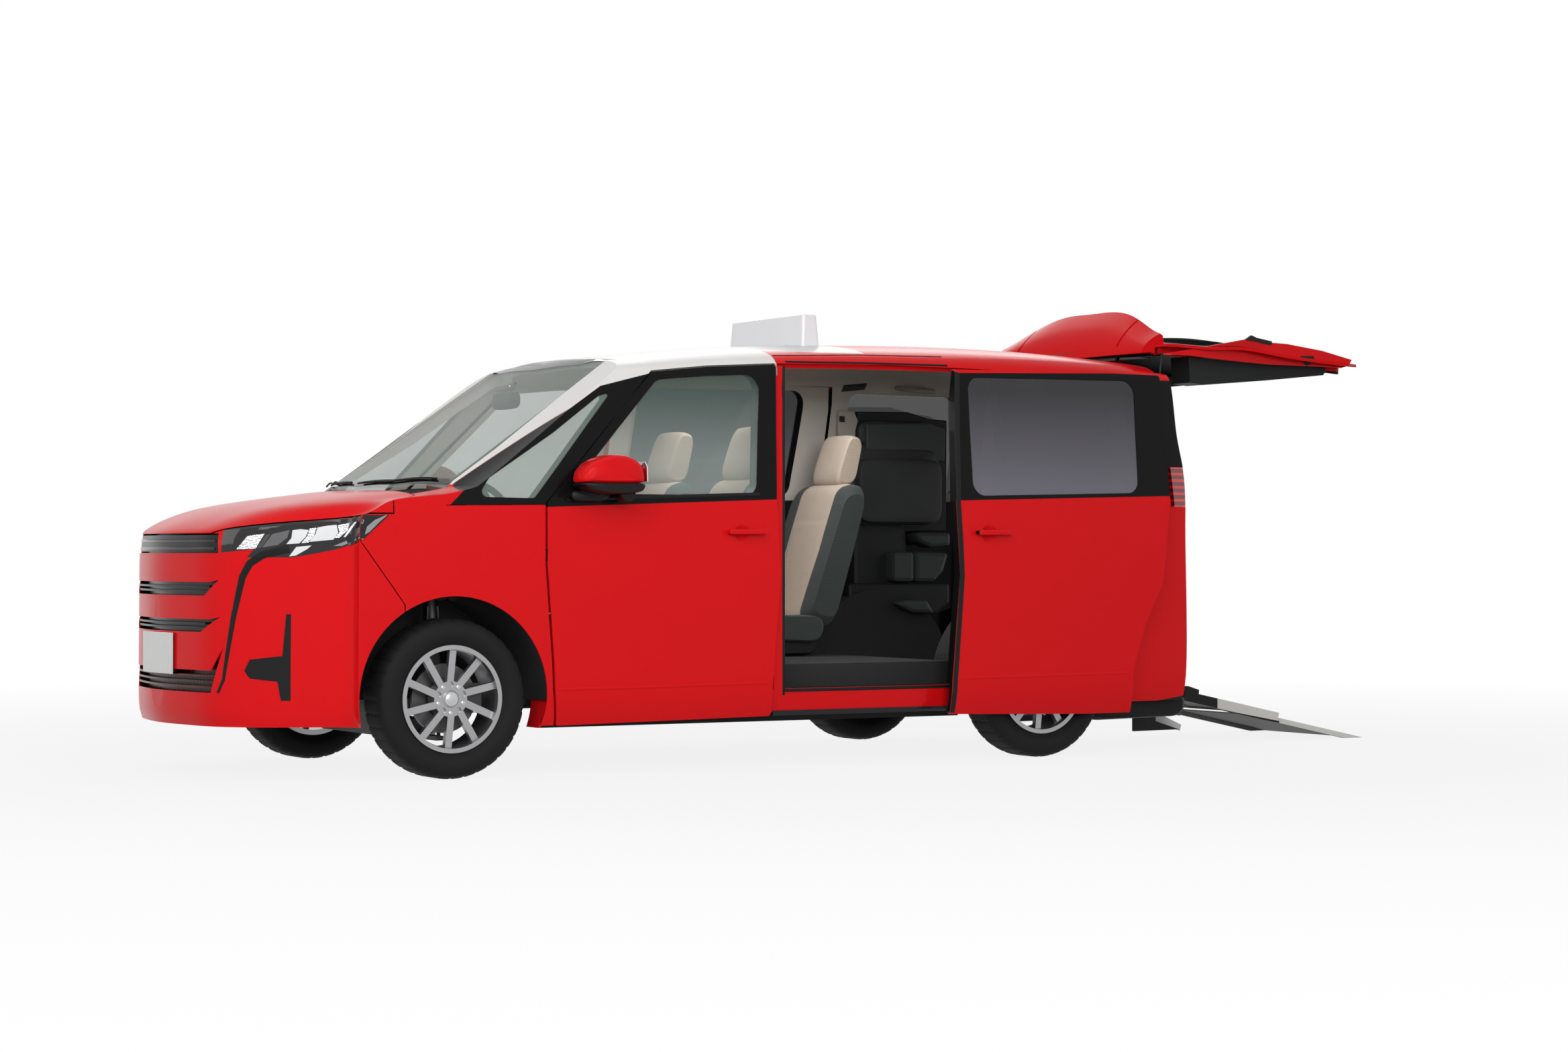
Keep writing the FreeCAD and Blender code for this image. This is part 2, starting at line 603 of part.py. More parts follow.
def make_fenders():
    """Front fenders, thin pressings between bumper, bonnet, door and windscreen pillar."""
    region = prism_side(side_points(FENDER_SHARES), SIDE_FROM, FAR)
    skin = layer(0, S.SkinThickness, region)
    lamp = prism_front(grown(front_points(LAMP_SHARES), S.SeatGap), -FAR, 0)
    inner = COWL_PLAN_SHARES[1][0] * S.HalfWidth + S.SeatGap
    cowl_room = block(0, inner, S.BonnetAxisY - 2 * S.PostDepth, FAR, 0, FAR)
    skin = whole_pieces(skin.cut([front_well, bonnet_region(S.ShutGap), lamp, cowl_room]))
    add("front_fenders", Part.makeCompound([skin, mirror(skin)]))


def make_headlamps():
    region = prism_front(front_points(LAMP_SHARES), -FAR, 0)
    lamp = layer(S.SkinThickness / 5, DEEP, region)
    lamp = whole_pieces(lamp.cut(bonnet_region(S.ShutGap)))
    add("headlamps", Part.makeCompound([lamp, mirror(lamp)]))


def grille_openings():
    """Openings of the front bumper: strip, two slots, intake and the two corner vents."""
    reach = S.BonnetAxisY - S.Overrun
    shapes = [prism_front(front_points(shares), -FAR, reach)
              for shares in (UPPER_GRILLE_SHARES, UPPER_SLOT_SHARES, LOWER_SLOT_SHARES, INTAKE_SHARES)]
    vent = prism_front(front_points(VENT_SHARES), -FAR, 0)
    return shapes + [vent, mirror(vent)]


def make_front_bumper():
    skin = layer(0, S.SkinThickness, prism_side(side_points(FRONT_BUMPER_SHARES), -FAR, FAR))
    lamp = prism_front(grown(front_points(LAMP_SHARES), S.SeatGap), -FAR, 0)
    wells = [front_well, mirror(front_well)]
    skin = skin.cut([lamp, mirror(lamp), bonnet_region(S.ShutGap)] + wells + grille_openings())
    add("front_bumper", skin)


def make_grille():
    """Dark grille carrier behind the bumper, its slats reaching into the openings."""
    deep = 5 * S.SkinThickness
    back_region = prism_front(front_points(((-0.60, 0.17), (0.60, 0.17), (0.60, 0.465), (0.54, 0.48),
                                            (0.53, 0.533), (-0.53, 0.533), (-0.54, 0.48), (-0.60, 0.465))),
                              -FAR, S.BonnetAxisY - S.Overrun)
    back = layer(deep, deep + S.SkinThickness, back_region)
    pieces = [back]
    strip = prism_front(grown(front_points(UPPER_GRILLE_SHARES), -S.ShutGap), -FAR,
                        S.BonnetAxisY - S.Overrun)
    pieces.append(layer(S.SkinThickness, deep + S.SkinThickness, strip))
    for low_share, high_share, half_share, count in ((0.399, 0.428, 0.465, 2), (0.3205, 0.348, 0.437, 2),
                                                     (0.190, 0.238, 0.51, 3)):
        pitch = (high_share - low_share) / (count + 1)
        for number in range(count):
            low = (low_share + pitch * (number + 1)) * S.RoofHeight - S.RimWall / 2
            half = half_share * S.HalfWidth + S.StepThickness
            slat = block(-half, half, -FAR,
                         S.BonnetAxisY - S.Overrun, low, low + S.RimWall)
            pieces.append(layer(S.SkinThickness, deep + S.SkinThickness, slat))
    vent = prism_front(grown(front_points(VENT_SHARES), S.RunningGap), -FAR, 0)
    cup = layer(S.SkinThickness, S.LidThickness, vent).translated(Vector(-S.SeatGap, S.SeatGap, 0))
    joined = pieces[0].multiFuse(pieces[1:])
    add("grille", Part.makeCompound([joined, cup, mirror(cup)]))


def door_axis():
    return S.HalfWidth - S.DoorAxisIn, S.DoorEdge + S.DoorAxisBack


def door_notch(height):
    """Pocket in the door's front edge for one hinge leaf."""
    axis_x, axis_y = door_axis()
    return block(axis_x - 2 * DEEP, axis_x + 1.15 * S.KnuckleRadius, axis_y - 3 * S.DoorAxisBack,
                 axis_y + 1.3 * S.KnuckleRadius, height - S.NotchHeight / 2, height + S.NotchHeight / 2)


def door_body(outline, glass_shares):
    """Door as thick as the wall, thinner where it passes outside the sill, with its window cut."""
    region = prism_side(outline, SIDE_FROM, FAR, S.ShutGap * 2)
    frame = prism_side(grown(outline, -S.DoorFlange), SIDE_FROM, FAR, S.ShutGap)
    frame = frame.cut(block(0, FAR, -FAR, FAR, 0, S.SillTop + S.HingeGap))
    skin = whole_pieces(layer(0, S.StepThickness, region))
    inner = whole_pieces(layer(S.LidThickness, DEEP, frame))
    window = prism_side(side_points(glass_shares), SIDE_FROM, FAR, S.PostDepth)
    roof_room = prism_plan(grown(plan_points(ROOF_PLAN_SHARES), S.ShutGap), S.FloorHeight * 3, FAR)
    return fused([skin, inner]).cut([window, roof_room])


def door_glass(glass_shares, name_gap):
    """Pane that fills a door window just below the skin."""
    window = prism_side(grown(side_points(glass_shares), -name_gap), SIDE_FROM, FAR, S.PostDepth)
    return whole_pieces(layer(S.GlassInset, GLASS_IN, window))


def pull_handle(centre_y, centre_z):
    """Bar handle on two feet, standing off the skin."""
    half = S.SlideOut * 1.25
    thick = S.StepThickness
    bar = block(S.HalfWidth + thick / 2, S.HalfWidth + thick * 1.4, centre_y - half, centre_y + half,
                centre_z - thick / 2, centre_z + thick / 2)
    bar = bar.makeFillet(thick / 3, bar.Edges)
    feet = [block(S.HalfWidth - thick, S.HalfWidth + thick, centre_y + place * half - thick / 2,
                  centre_y + place * half + thick / 2, centre_z - thick / 3, centre_z + thick / 3)
            for place in (-0.8, 0.8)]
    return [bar] + feet


def handle_hollow(centre_y, centre_z):
    """Shallow round hollow in the skin, in which a hand goes behind the handle."""
    radius = S.SlideOut * 1.6
    centre = Vector(S.HalfWidth + radius - S.LidThickness, centre_y - S.StepThickness / 2, centre_z)
    return Part.makeSphere(radius, centre)


def make_front_doors():
    """Left and right front door, with hinge pins, glass and mirror."""
    axis_x, axis_y = door_axis()
    panel = door_body(front_door_outline, FRONT_DOOR_GLASS_SHARES)
    pins = []
    for height in (S.LowHingeHeight, S.HighHingeHeight):
        panel = panel.cut(door_notch(height))
        reach = S.NotchHeight / 2 + S.PinRadius
        pins.append(rod(Vector(axis_x, axis_y, height - reach), Vector(axis_x, axis_y, height + reach),
                        S.PinRadius))
    grip = (0.465 * S.Wheelbase, 0.5385 * S.RoofHeight)
    panel = fused([panel.cut(handle_hollow(*grip))] + pins + pull_handle(*grip))
    glass = door_glass(FRONT_DOOR_GLASS_SHARES, S.SeatGap)
    for side, flip in (("left", lambda shape: shape), ("right", mirror)):
        add(f"front_door_{side}", flip(panel))
        add(f"front_door_glass_{side}", flip(glass))
        add(f"mirror_{side}", flip(mirror_body(panel)))


def mirror_body(panel):
    """Door mirror: a rounded housing on a foot that stands on the door below the window."""
    foot_low = BELT_SHARE * S.RoofHeight - S.StepThickness
    profile = ((0.172, 0.622), (0.262, 0.622), (0.285, 0.66), (0.262, 0.712), (0.20, 0.712), (0.172, 0.66))
    housing = prism_side(side_points(profile), S.HalfWidth + S.PinRadius, S.MirrorReach, S.StepThickness)
    slope = prism_plan(plan_points(((0.90, 0.10), (1.2, 0.165), (1.2, 0.40), (0.90, 0.40))), 0, FAR)
    housing = housing.common(slope)
    foot = block(S.HalfWidth - 2 * S.StepThickness, S.HalfWidth + 2 * S.StepThickness,
                 0.19 * S.Wheelbase, 0.24 * S.Wheelbase, foot_low, foot_low + 2 * S.StepThickness)
    whole = housing.fuse(foot).cut(hull(0))
    return whole


def make_sliding_doors():
    """Sliding doors: the right one shut, the left one out and back along its rails."""
    panel = door_body(sliding_door_outline, SLIDING_DOOR_GLASS_SHARES)
    passed = hull(0).translated(Vector(S.ShutGap - S.SlideOut, -S.SlideTravel, S.ShutGap))
    panel = whole_pieces(panel.cut(passed))
    grip = (0.5865 * S.Wheelbase, 0.5385 * S.RoofHeight)
    panel = fused([panel.cut(handle_hollow(*grip))] + pull_handle(*grip))
    glass = door_glass(SLIDING_DOOR_GLASS_SHARES, S.SeatGap)
    shift = Vector(S.SlideOut, S.SlideTravel, 0)
    left_panel = panel.translated(shift)
    add("sliding_door_left", left_panel)
    add("sliding_door_right", mirror(panel))
    add("sliding_door_glass", Part.makeCompound([glass.translated(shift), mirror(glass)]))


def hinge_leaves():
    """Hinge leaves that reach from the door post to each front-door pin."""
    axis_x, axis_y = door_axis()
    leaves = []
    for height in (S.LowHingeHeight, S.HighHingeHeight):
        low = height - S.LeafHeight / 2
        knuckle = rod(Vector(axis_x, axis_y, low), Vector(axis_x, axis_y, low + S.LeafHeight),
                      S.KnuckleRadius)
        half = 1.25 * S.PinRadius
        inner_x = axis_x - DEEP
        outer_x = inner_x + 2 * half
        end_y = axis_y - S.PostReach - S.PinRadius
        corners = ((axis_x, axis_y + half), (inner_x, axis_y + half), (inner_x, end_y), (outer_x, end_y),
                   (outer_x, axis_y - half), (axis_x, axis_y - half))
        leaf = prism_plan(corners, low, low + S.LeafHeight)
        hole = rod(Vector(axis_x, axis_y, low - S.PinRadius),
                   Vector(axis_x, axis_y, low + S.LeafHeight + S.PinRadius), S.PinHole)
        leaves.append(knuckle.fuse(leaf).cut(hole))
    return leaves


def side_wall():
    """Fixed side of the body: pillars, roof rail, rear quarter, sill and door post."""
    region = prism_side(side_points(BODY_SIDE_SHARES), SIDE_FROM, FAR)
    wall = layer(0, DEEP, region)
    gate = prism_front(grown(front_points(mirrored_outline(GATE_SHARES)), S.ShutGap),
                       S.FloorEnd + S.StepThickness, FAR)
    lamp = prism_front(grown(front_points(TAIL_LAMP_SHARES), S.SeatGap), S.FloorEnd, FAR)
    bumper = prism_side(grown(side_points(REAR_BUMPER_SHARES), S.SeatGap), -FAR, FAR)
    well = wheel_well(S.Wheelbase, S.RearArchRadius, SIDE_FROM, FAR)
    cutters = [
        prism_side(grown(front_door_outline, S.ShutGap), SIDE_FROM, FAR, S.ShutGap * 2),
        prism_side(grown(sliding_door_outline, S.ShutGap), SIDE_FROM, FAR, S.ShutGap * 2),
        roof_cut, screen_cut, cowl_cut, gate, lamp, bumper, well,
        prism_side(side_points(QUARTER_GLASS_SHARES), SIDE_FROM, FAR, S.StepThickness),
        prism_side(side_points(REAR_GLASS_SHARES), SIDE_FROM, FAR, S.PostDepth),
        prism_side(grown(side_points(FENDER_SHARES), S.SeatGap), SIDE_FROM, FAR),
        slide_band(0).cut(hull(S.GlassSeat)),
    ]
    return wall.cut(cutters)


def rear_frame():
    """Frame round the tailgate opening, behind the side wall and below the roof."""
    start = S.FloorEnd - S.PostDepth
    region = block(0, FAR, start, FAR, S.LoadFloorHeight, FAR)
    inner = prism_front(front_points(((0.0, 0.0), (0.752, 0.0), (0.752, 0.66), (0.70, 0.90), (0.0, 0.925))),
                        -FAR, FAR, S.SlideOut)
    ring = hull(S.StepThickness).common(region).cut(inner)
    ring = ring.cut(block(-FAR, FAR, S.FloorEnd, FAR, 0, FAR))
    ring = ring.cut(prism_plan(plan_points(ROOF_PLAN_SHARES), S.GateAxisZ - DEEP * 1.5, FAR))
    return ring.cut(roof_panel())


def make_body_sides():
    post_back = door_axis()[1] - S.PostReach
    inner_room = hull(S.PillarInset).translated(Vector(-S.PillarDepth, 0, -S.PillarDepth))
    pillar = prism_side(side_points(PILLAR_SHARES), SIDE_FROM, FAR).common(hull(S.PillarInset))
    pillar = pillar.cut([inner_room, roof_cut])
    sill = block(S.SillInner, FAR, post_back - S.PostDepth, 0.853 * S.Wheelbase - S.HingeGap,
                 S.SillBottom, S.SillTop).common(hull(6 * S.SkinThickness))
    post = block(S.SillInner, S.HalfWidth - DEEP - S.KnuckleRadius, post_back - S.PostDepth, post_back,
                 S.SillTop - S.StepThickness, BELT_SHARE * S.RoofHeight - S.PostDepth)
    cap = prism_side(side_points(((0.115, 0.50), (0.1355, 0.50), (0.1355, 0.60), (0.09, 0.60))),
                     S.SillInner, S.HalfWidth - DEEP / 3).common(hull(GLASS_IN))
    rail_region = prism_side(side_points(((0.50, 0.915), (0.96, 0.922), (0.96, 0.955), (0.50, 0.95))),
                             SIDE_FROM, FAR)
    rail = rail_region.common(hull(DEEP - S.SkinThickness)).cut([
        inner_room, roof_cut, prism_side(grown(sliding_door_outline, S.ShutGap), SIDE_FROM, FAR),
        prism_side(grown(front_door_outline, S.ShutGap), SIDE_FROM, FAR)])
    liner_room = wheel_well(0, S.FrontArchRadius + S.LinerThickness + S.SeatGap, SIDE_FROM, FAR)
    pieces = [whole_pieces(side_wall()), pillar, sill.cut(liner_room), post.cut(liner_room), cap, rail,
              rear_frame()] + hinge_leaves() + stay_foot_mount()
    whole = pieces[0].multiFuse(pieces[1:])
    add("body_side_left", whole)
    add("body_side_right", mirror(nodes["body_side_left"].Shape))


def make_fixed_glass():
    quarter = prism_side(grown(side_points(QUARTER_GLASS_SHARES), -S.SeatGap), SIDE_FROM, FAR,
                         S.StepThickness)
    rear = prism_side(grown(side_points(REAR_GLASS_SHARES), -S.SeatGap), SIDE_FROM, FAR, S.PostDepth)
    panes = [whole_pieces(layer(S.GlassInset, GLASS_IN, region)) for region in (quarter, rear)]
    add("fixed_side_glass", Part.makeCompound(panes + [mirror(pane) for pane in panes]))


def make_cowl():
    """Trough between bonnet and windscreen, with the body half of the bonnet hinges."""
    trough = layer(5 * S.SkinThickness, 6 * S.SkinThickness,
                   prism_plan(plan_points(COWL_PLAN_SHARES), S.FloorHeight * 2, FAR))
    pieces = [whole_pieces(trough)]
    plate = S.KnuckleRadius
    for side in (-1, 1):
        x = side * (S.BonnetHingeX + 2 * plate)
        ear = rod(bonnet_axis(x - plate / 2), bonnet_axis(x + plate / 2), S.KnuckleRadius)
        stalk = block(x - plate / 2, x + plate / 2, S.BonnetAxisY - S.PinRadius,
                      S.BonnetAxisY + S.PinRadius * 2, S.BonnetAxisZ - DEEP, S.BonnetAxisZ)
        hole = rod(bonnet_axis(x - plate), bonnet_axis(x + plate), S.PinHole)
        pieces.append(ear.fuse(stalk).cut(hole))
    add("cowl", fused(pieces))


def make_rear_bumper():
    skin = layer(0, S.SkinThickness, prism_side(side_points(REAR_BUMPER_SHARES), -FAR, FAR))
    middle = prism_front(front_points(((-0.555, 0.0), (0.555, 0.0), (0.555, 1.0), (-0.555, 1.0))),
                         S.FloorEnd, FAR)
    gate = prism_front(grown(front_points(mirrored_outline(GATE_SHARES)), S.ShutGap), S.FloorEnd, FAR)
    wells = [rear_well, mirror(rear_well)]
    skin = skin.cut([middle, gate] + wells)
    skin = skin.cut(block(-FAR, FAR, -FAR, FAR, 0, 0.128 * S.RoofHeight))
    add("rear_bumper", skin)


def make_tail_lamps():
    region = prism_front(front_points(TAIL_LAMP_SHARES), S.FloorEnd + S.StepThickness, FAR)
    lamp = whole_pieces(layer(S.SkinThickness / 5, DEEP, region))
    add("tail_lamps", Part.makeCompound([lamp, mirror(lamp)]))


def gate_opened(shape):
    """Swing a piece of the shut tailgate up to its open place."""
    turned = shape.copy()
    turned.rotate(Vector(0, S.GateAxisY, S.GateAxisZ), Vector(1, 0, 0), S.GateOpenAngle)
    return turned


def make_gate():
    """Tailgate: skin, thick inner trim, window, arms with pins and the roof spoiler."""
    lead = S.GateAxisY + S.GateLead
    outline = front_points(mirrored_outline(GATE_SHARES))
    skin = layer(0, S.LidThickness, prism_front(outline, lead, FAR))
    trim = layer(S.GlassSeat, DEEP,
                 prism_front(front_points(mirrored_outline(GATE_TRIM_SHARES)), lead, FAR, S.PostDepth))
    window = prism_front(front_points(mirrored_outline(GATE_WINDOW_SHARES)), lead, FAR, S.PostDepth)
    pane = prism_front(front_points(mirrored_outline(GATE_GLASS_SHARES)), lead, FAR, S.PostDepth)
    seat = pane.cut(hull(S.GlassSeat))
    panel = whole_pieces(skin).fuse(whole_pieces(trim)).cut(window).cut(seat)
    pieces = [whole_pieces(panel)]
    for side in (-1, 1):
        x = side * S.GateHingeX
        reach = S.NotchWidth / 2 + S.GateArmWidth * 0.8
        arm = block(x - S.GateArmWidth / 2, x + S.GateArmWidth / 2, S.GateAxisY, lead + S.StepThickness,
                    S.GateAxisZ - S.KnuckleRadius, S.GateAxisZ + S.KnuckleRadius)
        knuckle = rod(Vector(x - S.GateArmWidth / 2, S.GateAxisY, S.GateAxisZ),
                      Vector(x + S.GateArmWidth / 2, S.GateAxisY, S.GateAxisZ), S.KnuckleRadius)
        pin = rod(Vector(x - reach, S.GateAxisY, S.GateAxisZ), Vector(x + reach, S.GateAxisY, S.GateAxisZ),
                  S.PinRadius)
        pieces += [arm, knuckle, pin]
    pieces += stay_brackets()
    add("tailgate", gate_opened(fused(pieces)))
    pane = prism_front(grown(front_points(mirrored_outline(GATE_GLASS_SHARES)), -S.SeatGap), lead, FAR,
                       S.PostDepth)
    add("tailgate_glass", gate_opened(whole_pieces(layer(S.GlassInset, GLASS_IN, pane))))
    add("spoiler", gate_opened(make_spoiler_shape()))


def spoiler_section(across, reach, drop):
    """Closed profile of the spoiler at a place across it."""
    lead_y = S.GateAxisY + S.GateLead + S.HingeGap
    tip_y = S.GateAxisY + reach
    tip_z = S.GateAxisZ - drop
    points = [
        Vector(across, lead_y, S.GateAxisZ + S.StepThickness),
        Vector(across, (lead_y + tip_y) / 2, (S.GateAxisZ + S.StepThickness + tip_z) / 2 + S.StepThickness),
        Vector(across, tip_y, tip_z),
        Vector(across, tip_y - S.SpoilerThickness / 2, tip_z - S.SpoilerThickness),
        Vector(across, lead_y + S.StepThickness, tip_z - 2 * S.SpoilerThickness),
    ]
    edges = [smooth_edge(points[:3]), Part.makeLine(points[2], points[3]),
             Part.makeLine(points[3], points[4]), Part.makeLine(points[4], points[0])]
    return Part.Wire(edges)


def make_spoiler_shape():
    sections = []
    for place, reach_share, drop_share in ((-1.0, 0.50, 0.62), (-0.85, 0.62, 0.70), (-0.45, 0.95, 1.0),
                                           (0.0, 1.0, 1.0), (0.45, 0.95, 1.0), (0.85, 0.62, 0.70),
                                           (1.0, 0.50, 0.62)):
        sections.append(spoiler_section(place * S.SpoilerHalfWidth, reach_share * S.SpoilerReach,
                                        drop_share * S.SpoilerDrop))
    blade = Part.makeLoft(sections, True, False)
    half = S.GateArmWidth / 2 + S.SeatGap
    arms = [block(side * S.GateHingeX - half, side * S.GateHingeX + half, S.GateAxisY, FAR, 0,
                  S.GateAxisZ + S.KnuckleRadius + S.SeatGap) for side in (-1, 1)]
    return whole_pieces(blade.cut([hull(0)] + arms)).translated(Vector(0, S.SeatGap, S.SeatGap))


def stay_gate_point(x):
    """Stay's eye on the shut tailgate, found by turning its open place back."""
    angle = math.radians(S.GateOpenAngle)
    y = S.StayGateY * math.cos(angle) + S.StayGateZ * math.sin(angle)
    z = -S.StayGateY * math.sin(angle) + S.StayGateZ * math.cos(angle)
    return Vector(x, S.GateAxisY + y, S.GateAxisZ + z)


def stay_brackets():
    """Small lugs on the tailgate that hold the stays' upper eyes."""
    lugs = []
    for side in (-1, 1):
        eye = stay_gate_point(side * (S.StayX - S.StayTubeRadius * 3))
        lugs.append(block(eye.x - S.PinRadius, eye.x + S.PinRadius, eye.y - S.KnuckleRadius,
                          eye.y + DEEP * 0.8, eye.z - S.KnuckleRadius, eye.z + S.KnuckleRadius))
        lugs.append(rod(eye, stay_gate_point(side * (S.StayX - S.PinRadius - S.SeatGap)), S.PinRadius))
    return lugs


def stay_foot_mount():
    """Bracket and pin on the left rear pillar that hold a stay's lower end."""
    foot = Vector(S.StayX, S.StayFootY, S.StayFootZ)
    inner = S.StayX + 3 * S.StayTubeRadius
    bracket = block(inner - S.StayTubeRadius, inner + 2 * S.StayTubeRadius, S.FloorEnd - S.PostDepth,
                    foot.y + S.KnuckleRadius, foot.z - S.KnuckleRadius, foot.z + S.KnuckleRadius)
    pin = rod(Vector(foot.x - S.StayTubeRadius, foot.y, foot.z), Vector(inner, foot.y, foot.z), S.PinRadius)
    return [bracket, pin]


def make_stays():
    """Gas stays from the rear pillars to the open tailgate: tube below, rod above."""
    tubes = []
    rods = []
    for side in (-1, 1):
        x = side * S.StayX
        foot = Vector(x, S.StayFootY, S.StayFootZ)
        eye = Vector(x, S.GateAxisY + S.StayGateY, S.GateAxisZ + S.StayGateZ)
        along = eye.sub(foot)
        along.normalize()
        tube_start = foot
        tube_end = foot.add(Vector(along).multiply(S.StayTubeLength))
        tube = rod(tube_start, tube_end, S.StayTubeRadius)
        bore = rod(tube_start.add(Vector(along).multiply(S.StepThickness)), tube_end,
                   S.StayRodRadius + S.SeatGap)
        ball = Part.makeSphere(S.StayTubeRadius * 1.1, foot)
        hole = rod(Vector(x - S.StepThickness, foot.y, foot.z), Vector(x + S.StepThickness, foot.y, foot.z),
                   S.PinHole)
        tubes.append(tube.cut(bore).fuse(ball).cut(hole))
        rod_start = tube_end.sub(Vector(along).multiply(S.PostDepth))
        rod_end = eye.sub(Vector(along).multiply(S.KnuckleRadius))
        eye_ring = rod(Vector(x - S.PinRadius, eye.y, eye.z), Vector(x + S.PinRadius, eye.y, eye.z),
                       S.KnuckleRadius)
        rods.append(rod(rod_start, rod_end, S.StayRodRadius).fuse(eye_ring))
    add("stay_tubes", Part.makeCompound(tubes))
    add("stay_rods", Part.makeCompound(rods))


def ramp_slope():
    """Angle and length of the ramp that lays the toe's upper face on the ground."""
    run = S.RampToeReach - S.RampAxisY
    length = math.hypot(run, S.RampAxisZ)
    top = S.RampSlideSide - S.RampSide / 2
    return math.atan2(S.RampAxisZ, run) + math.asin(top / length), length


def ramp_placed(shape):
    angle, _ = ramp_slope()
    turned = shape.copy()
    turned.rotate(Vector(0, 0, 0), Vector(1, 0, 0), -math.degrees(angle))
    turned.translate(Vector(0, S.RampAxisY, S.RampAxisZ))
    return turned


def make_ramp():
    """Two-part wheelchair ramp: a hinged main deck and a slide-out toe section."""
    half = S.RampHalfWidth
    side = S.RampSideWidth
    top = S.RampSide / 2
    reach = half + 2 * S.RampEar
    hinge = rod(Vector(-reach, 0, 0), Vector(reach, 0, 0), S.StayTubeRadius)
    deck = block(-half, half, 0, S.RampMainLength, top - S.RampDeck, top)
    flanges = [block(sign * half - (side if sign > 0 else 0), sign * half + (0 if sign > 0 else side),
                     0, S.RampMainLength, -S.RampSide / 2, top) for sign in (-1, 1)]
    ribs = [block(place * half - side / 4, place * half + side / 4, 0, S.RampMainLength * 0.9,
                  S.RampSide / 2 - 2 * S.RampDeck, top - S.RampDeck) for place in (-0.5, 0.5)]
    main = ramp_placed(fused([deck] + flanges + ribs + [hinge]))
    toe_line = block(-FAR, FAR, -FAR, FAR, -FAR, 0)
    add("ramp_main", main.cut(toe_line))
    inner = half - side - S.SeatGap
    low = -S.RampSide / 2
    start = S.RampMainLength - S.RampLap
    _, length = ramp_slope()
    plate = block(-inner, inner, start, length + S.Overrun, low + S.RampSlideSide - S.RampSlideDeck,
                  low + S.RampSlideSide)
    cheeks = [block(sign * inner - (side if sign > 0 else 0), sign * inner + (0 if sign > 0 else side),
                    start, length + S.Overrun, low, low + S.RampSlideSide) for sign in (-1, 1)]
    toe = ramp_placed(fused([plate] + cheeks))
    toe = toe.cut(toe_line).cut(block(-FAR, FAR, S.RampToeReach, 2 * FAR, -FAR, FAR))
    add("ramp_toe", toe)


def outline_sketch(body, name, plane, points):
    """Closed sketch whose corners are bound to the sheet, in the body's own origin plane."""
    sketch = body.newObject("Sketcher::SketchObject", name)
    origin_plane = [item for item in body.Origin.OriginFeatures if item.Role == plane][0]
    sketch.AttachmentSupport = [(origin_plane, "")]
    sketch.MapMode = "FlatFace"
    places = [(sheet.evalExpression(first), sheet.evalExpression(second)) for first, second in points]
    count = len(points)
    for index in range(count):
        start = Vector(places[index][0], places[index][1], 0)
        end = Vector(places[(index + 1) % count][0], places[(index + 1) % count][1], 0)
        sketch.addGeometry(Part.LineSegment(start, end), False)
    for index in range(count):
        sketch.addConstraint(Sketcher.Constraint("Coincident", index, 2, (index + 1) % count, 1))
    for index, (first, second) in enumerate(points):
        for kind, expression, place in (("DistanceX", first, places[index][0]),
                                        ("DistanceY", second, places[index][1])):
            number = sketch.addConstraint(Sketcher.Constraint(kind, -1, 1, index, 1, place))
            sketch.setExpression(f"Constraints[{number}]", expression)
    return sketch


def circle_sketch(body, name, plane, across, up, radius):
    sketch = body.newObject("Sketcher::SketchObject", name)
    origin_plane = [item for item in body.Origin.OriginFeatures if item.Role == plane][0]
    sketch.AttachmentSupport = [(origin_plane, "")]
    sketch.MapMode = "FlatFace"
    centre = Vector(sheet.evalExpression(across), sheet.evalExpression(up), 0)
    sketch.addGeometry(Part.Circle(centre, Vector(0, 0, 1), sheet.evalExpression(radius)), False)
    for kind, expression, size in (("DistanceX", across, centre.x), ("DistanceY", up, centre.y)):
        number = sketch.addConstraint(Sketcher.Constraint(kind, -1, 1, 0, 3, size))
        sketch.setExpression(f"Constraints[{number}]", expression)
    number = sketch.addConstraint(Sketcher.Constraint("Radius", 0, sheet.evalExpression(radius)))
    sketch.setExpression(f"Constraints[{number}]", radius)
    return sketch


def turned_body(name, points):
    """Body turned about its own x axis from a sketch of axial and radial sizes."""
    body = doc.addObject("PartDesign::Body", name)
    body.Label = name
    sketch = outline_sketch(body, name + "_profile", "XY_Plane", points)
    turn = body.newObject("PartDesign::Revolution", name + "_turn")
    turn.Profile = sketch
    turn.ReferenceAxis = (sketch, ["H_Axis"])
    turn.Angle = 360
    doc.recompute()
    return body


TYRE_SHARES = ((0.366, 0.0), (0.366, 0.12), (0.46, 0.29), (0.5, 0.53), (0.478, 0.79), (0.41, 0.93),
               (0.29, 1.0))


def make_tyre(name):
    """Tyre with a bulged side wall and rounded shoulders."""
    half = [(f"Sizes.TyreWidth * {axial}",
             f"Sizes.RimSeatRadius + Sizes.SeatGap + (Sizes.TyreRadius - Sizes.RimSeatRadius"
             f" - Sizes.SeatGap) * {radial}") for axial, radial in TYRE_SHARES]
    other = [("-" + axial, radial) for axial, radial in reversed(half)]
    return turned_body(name, half + other)


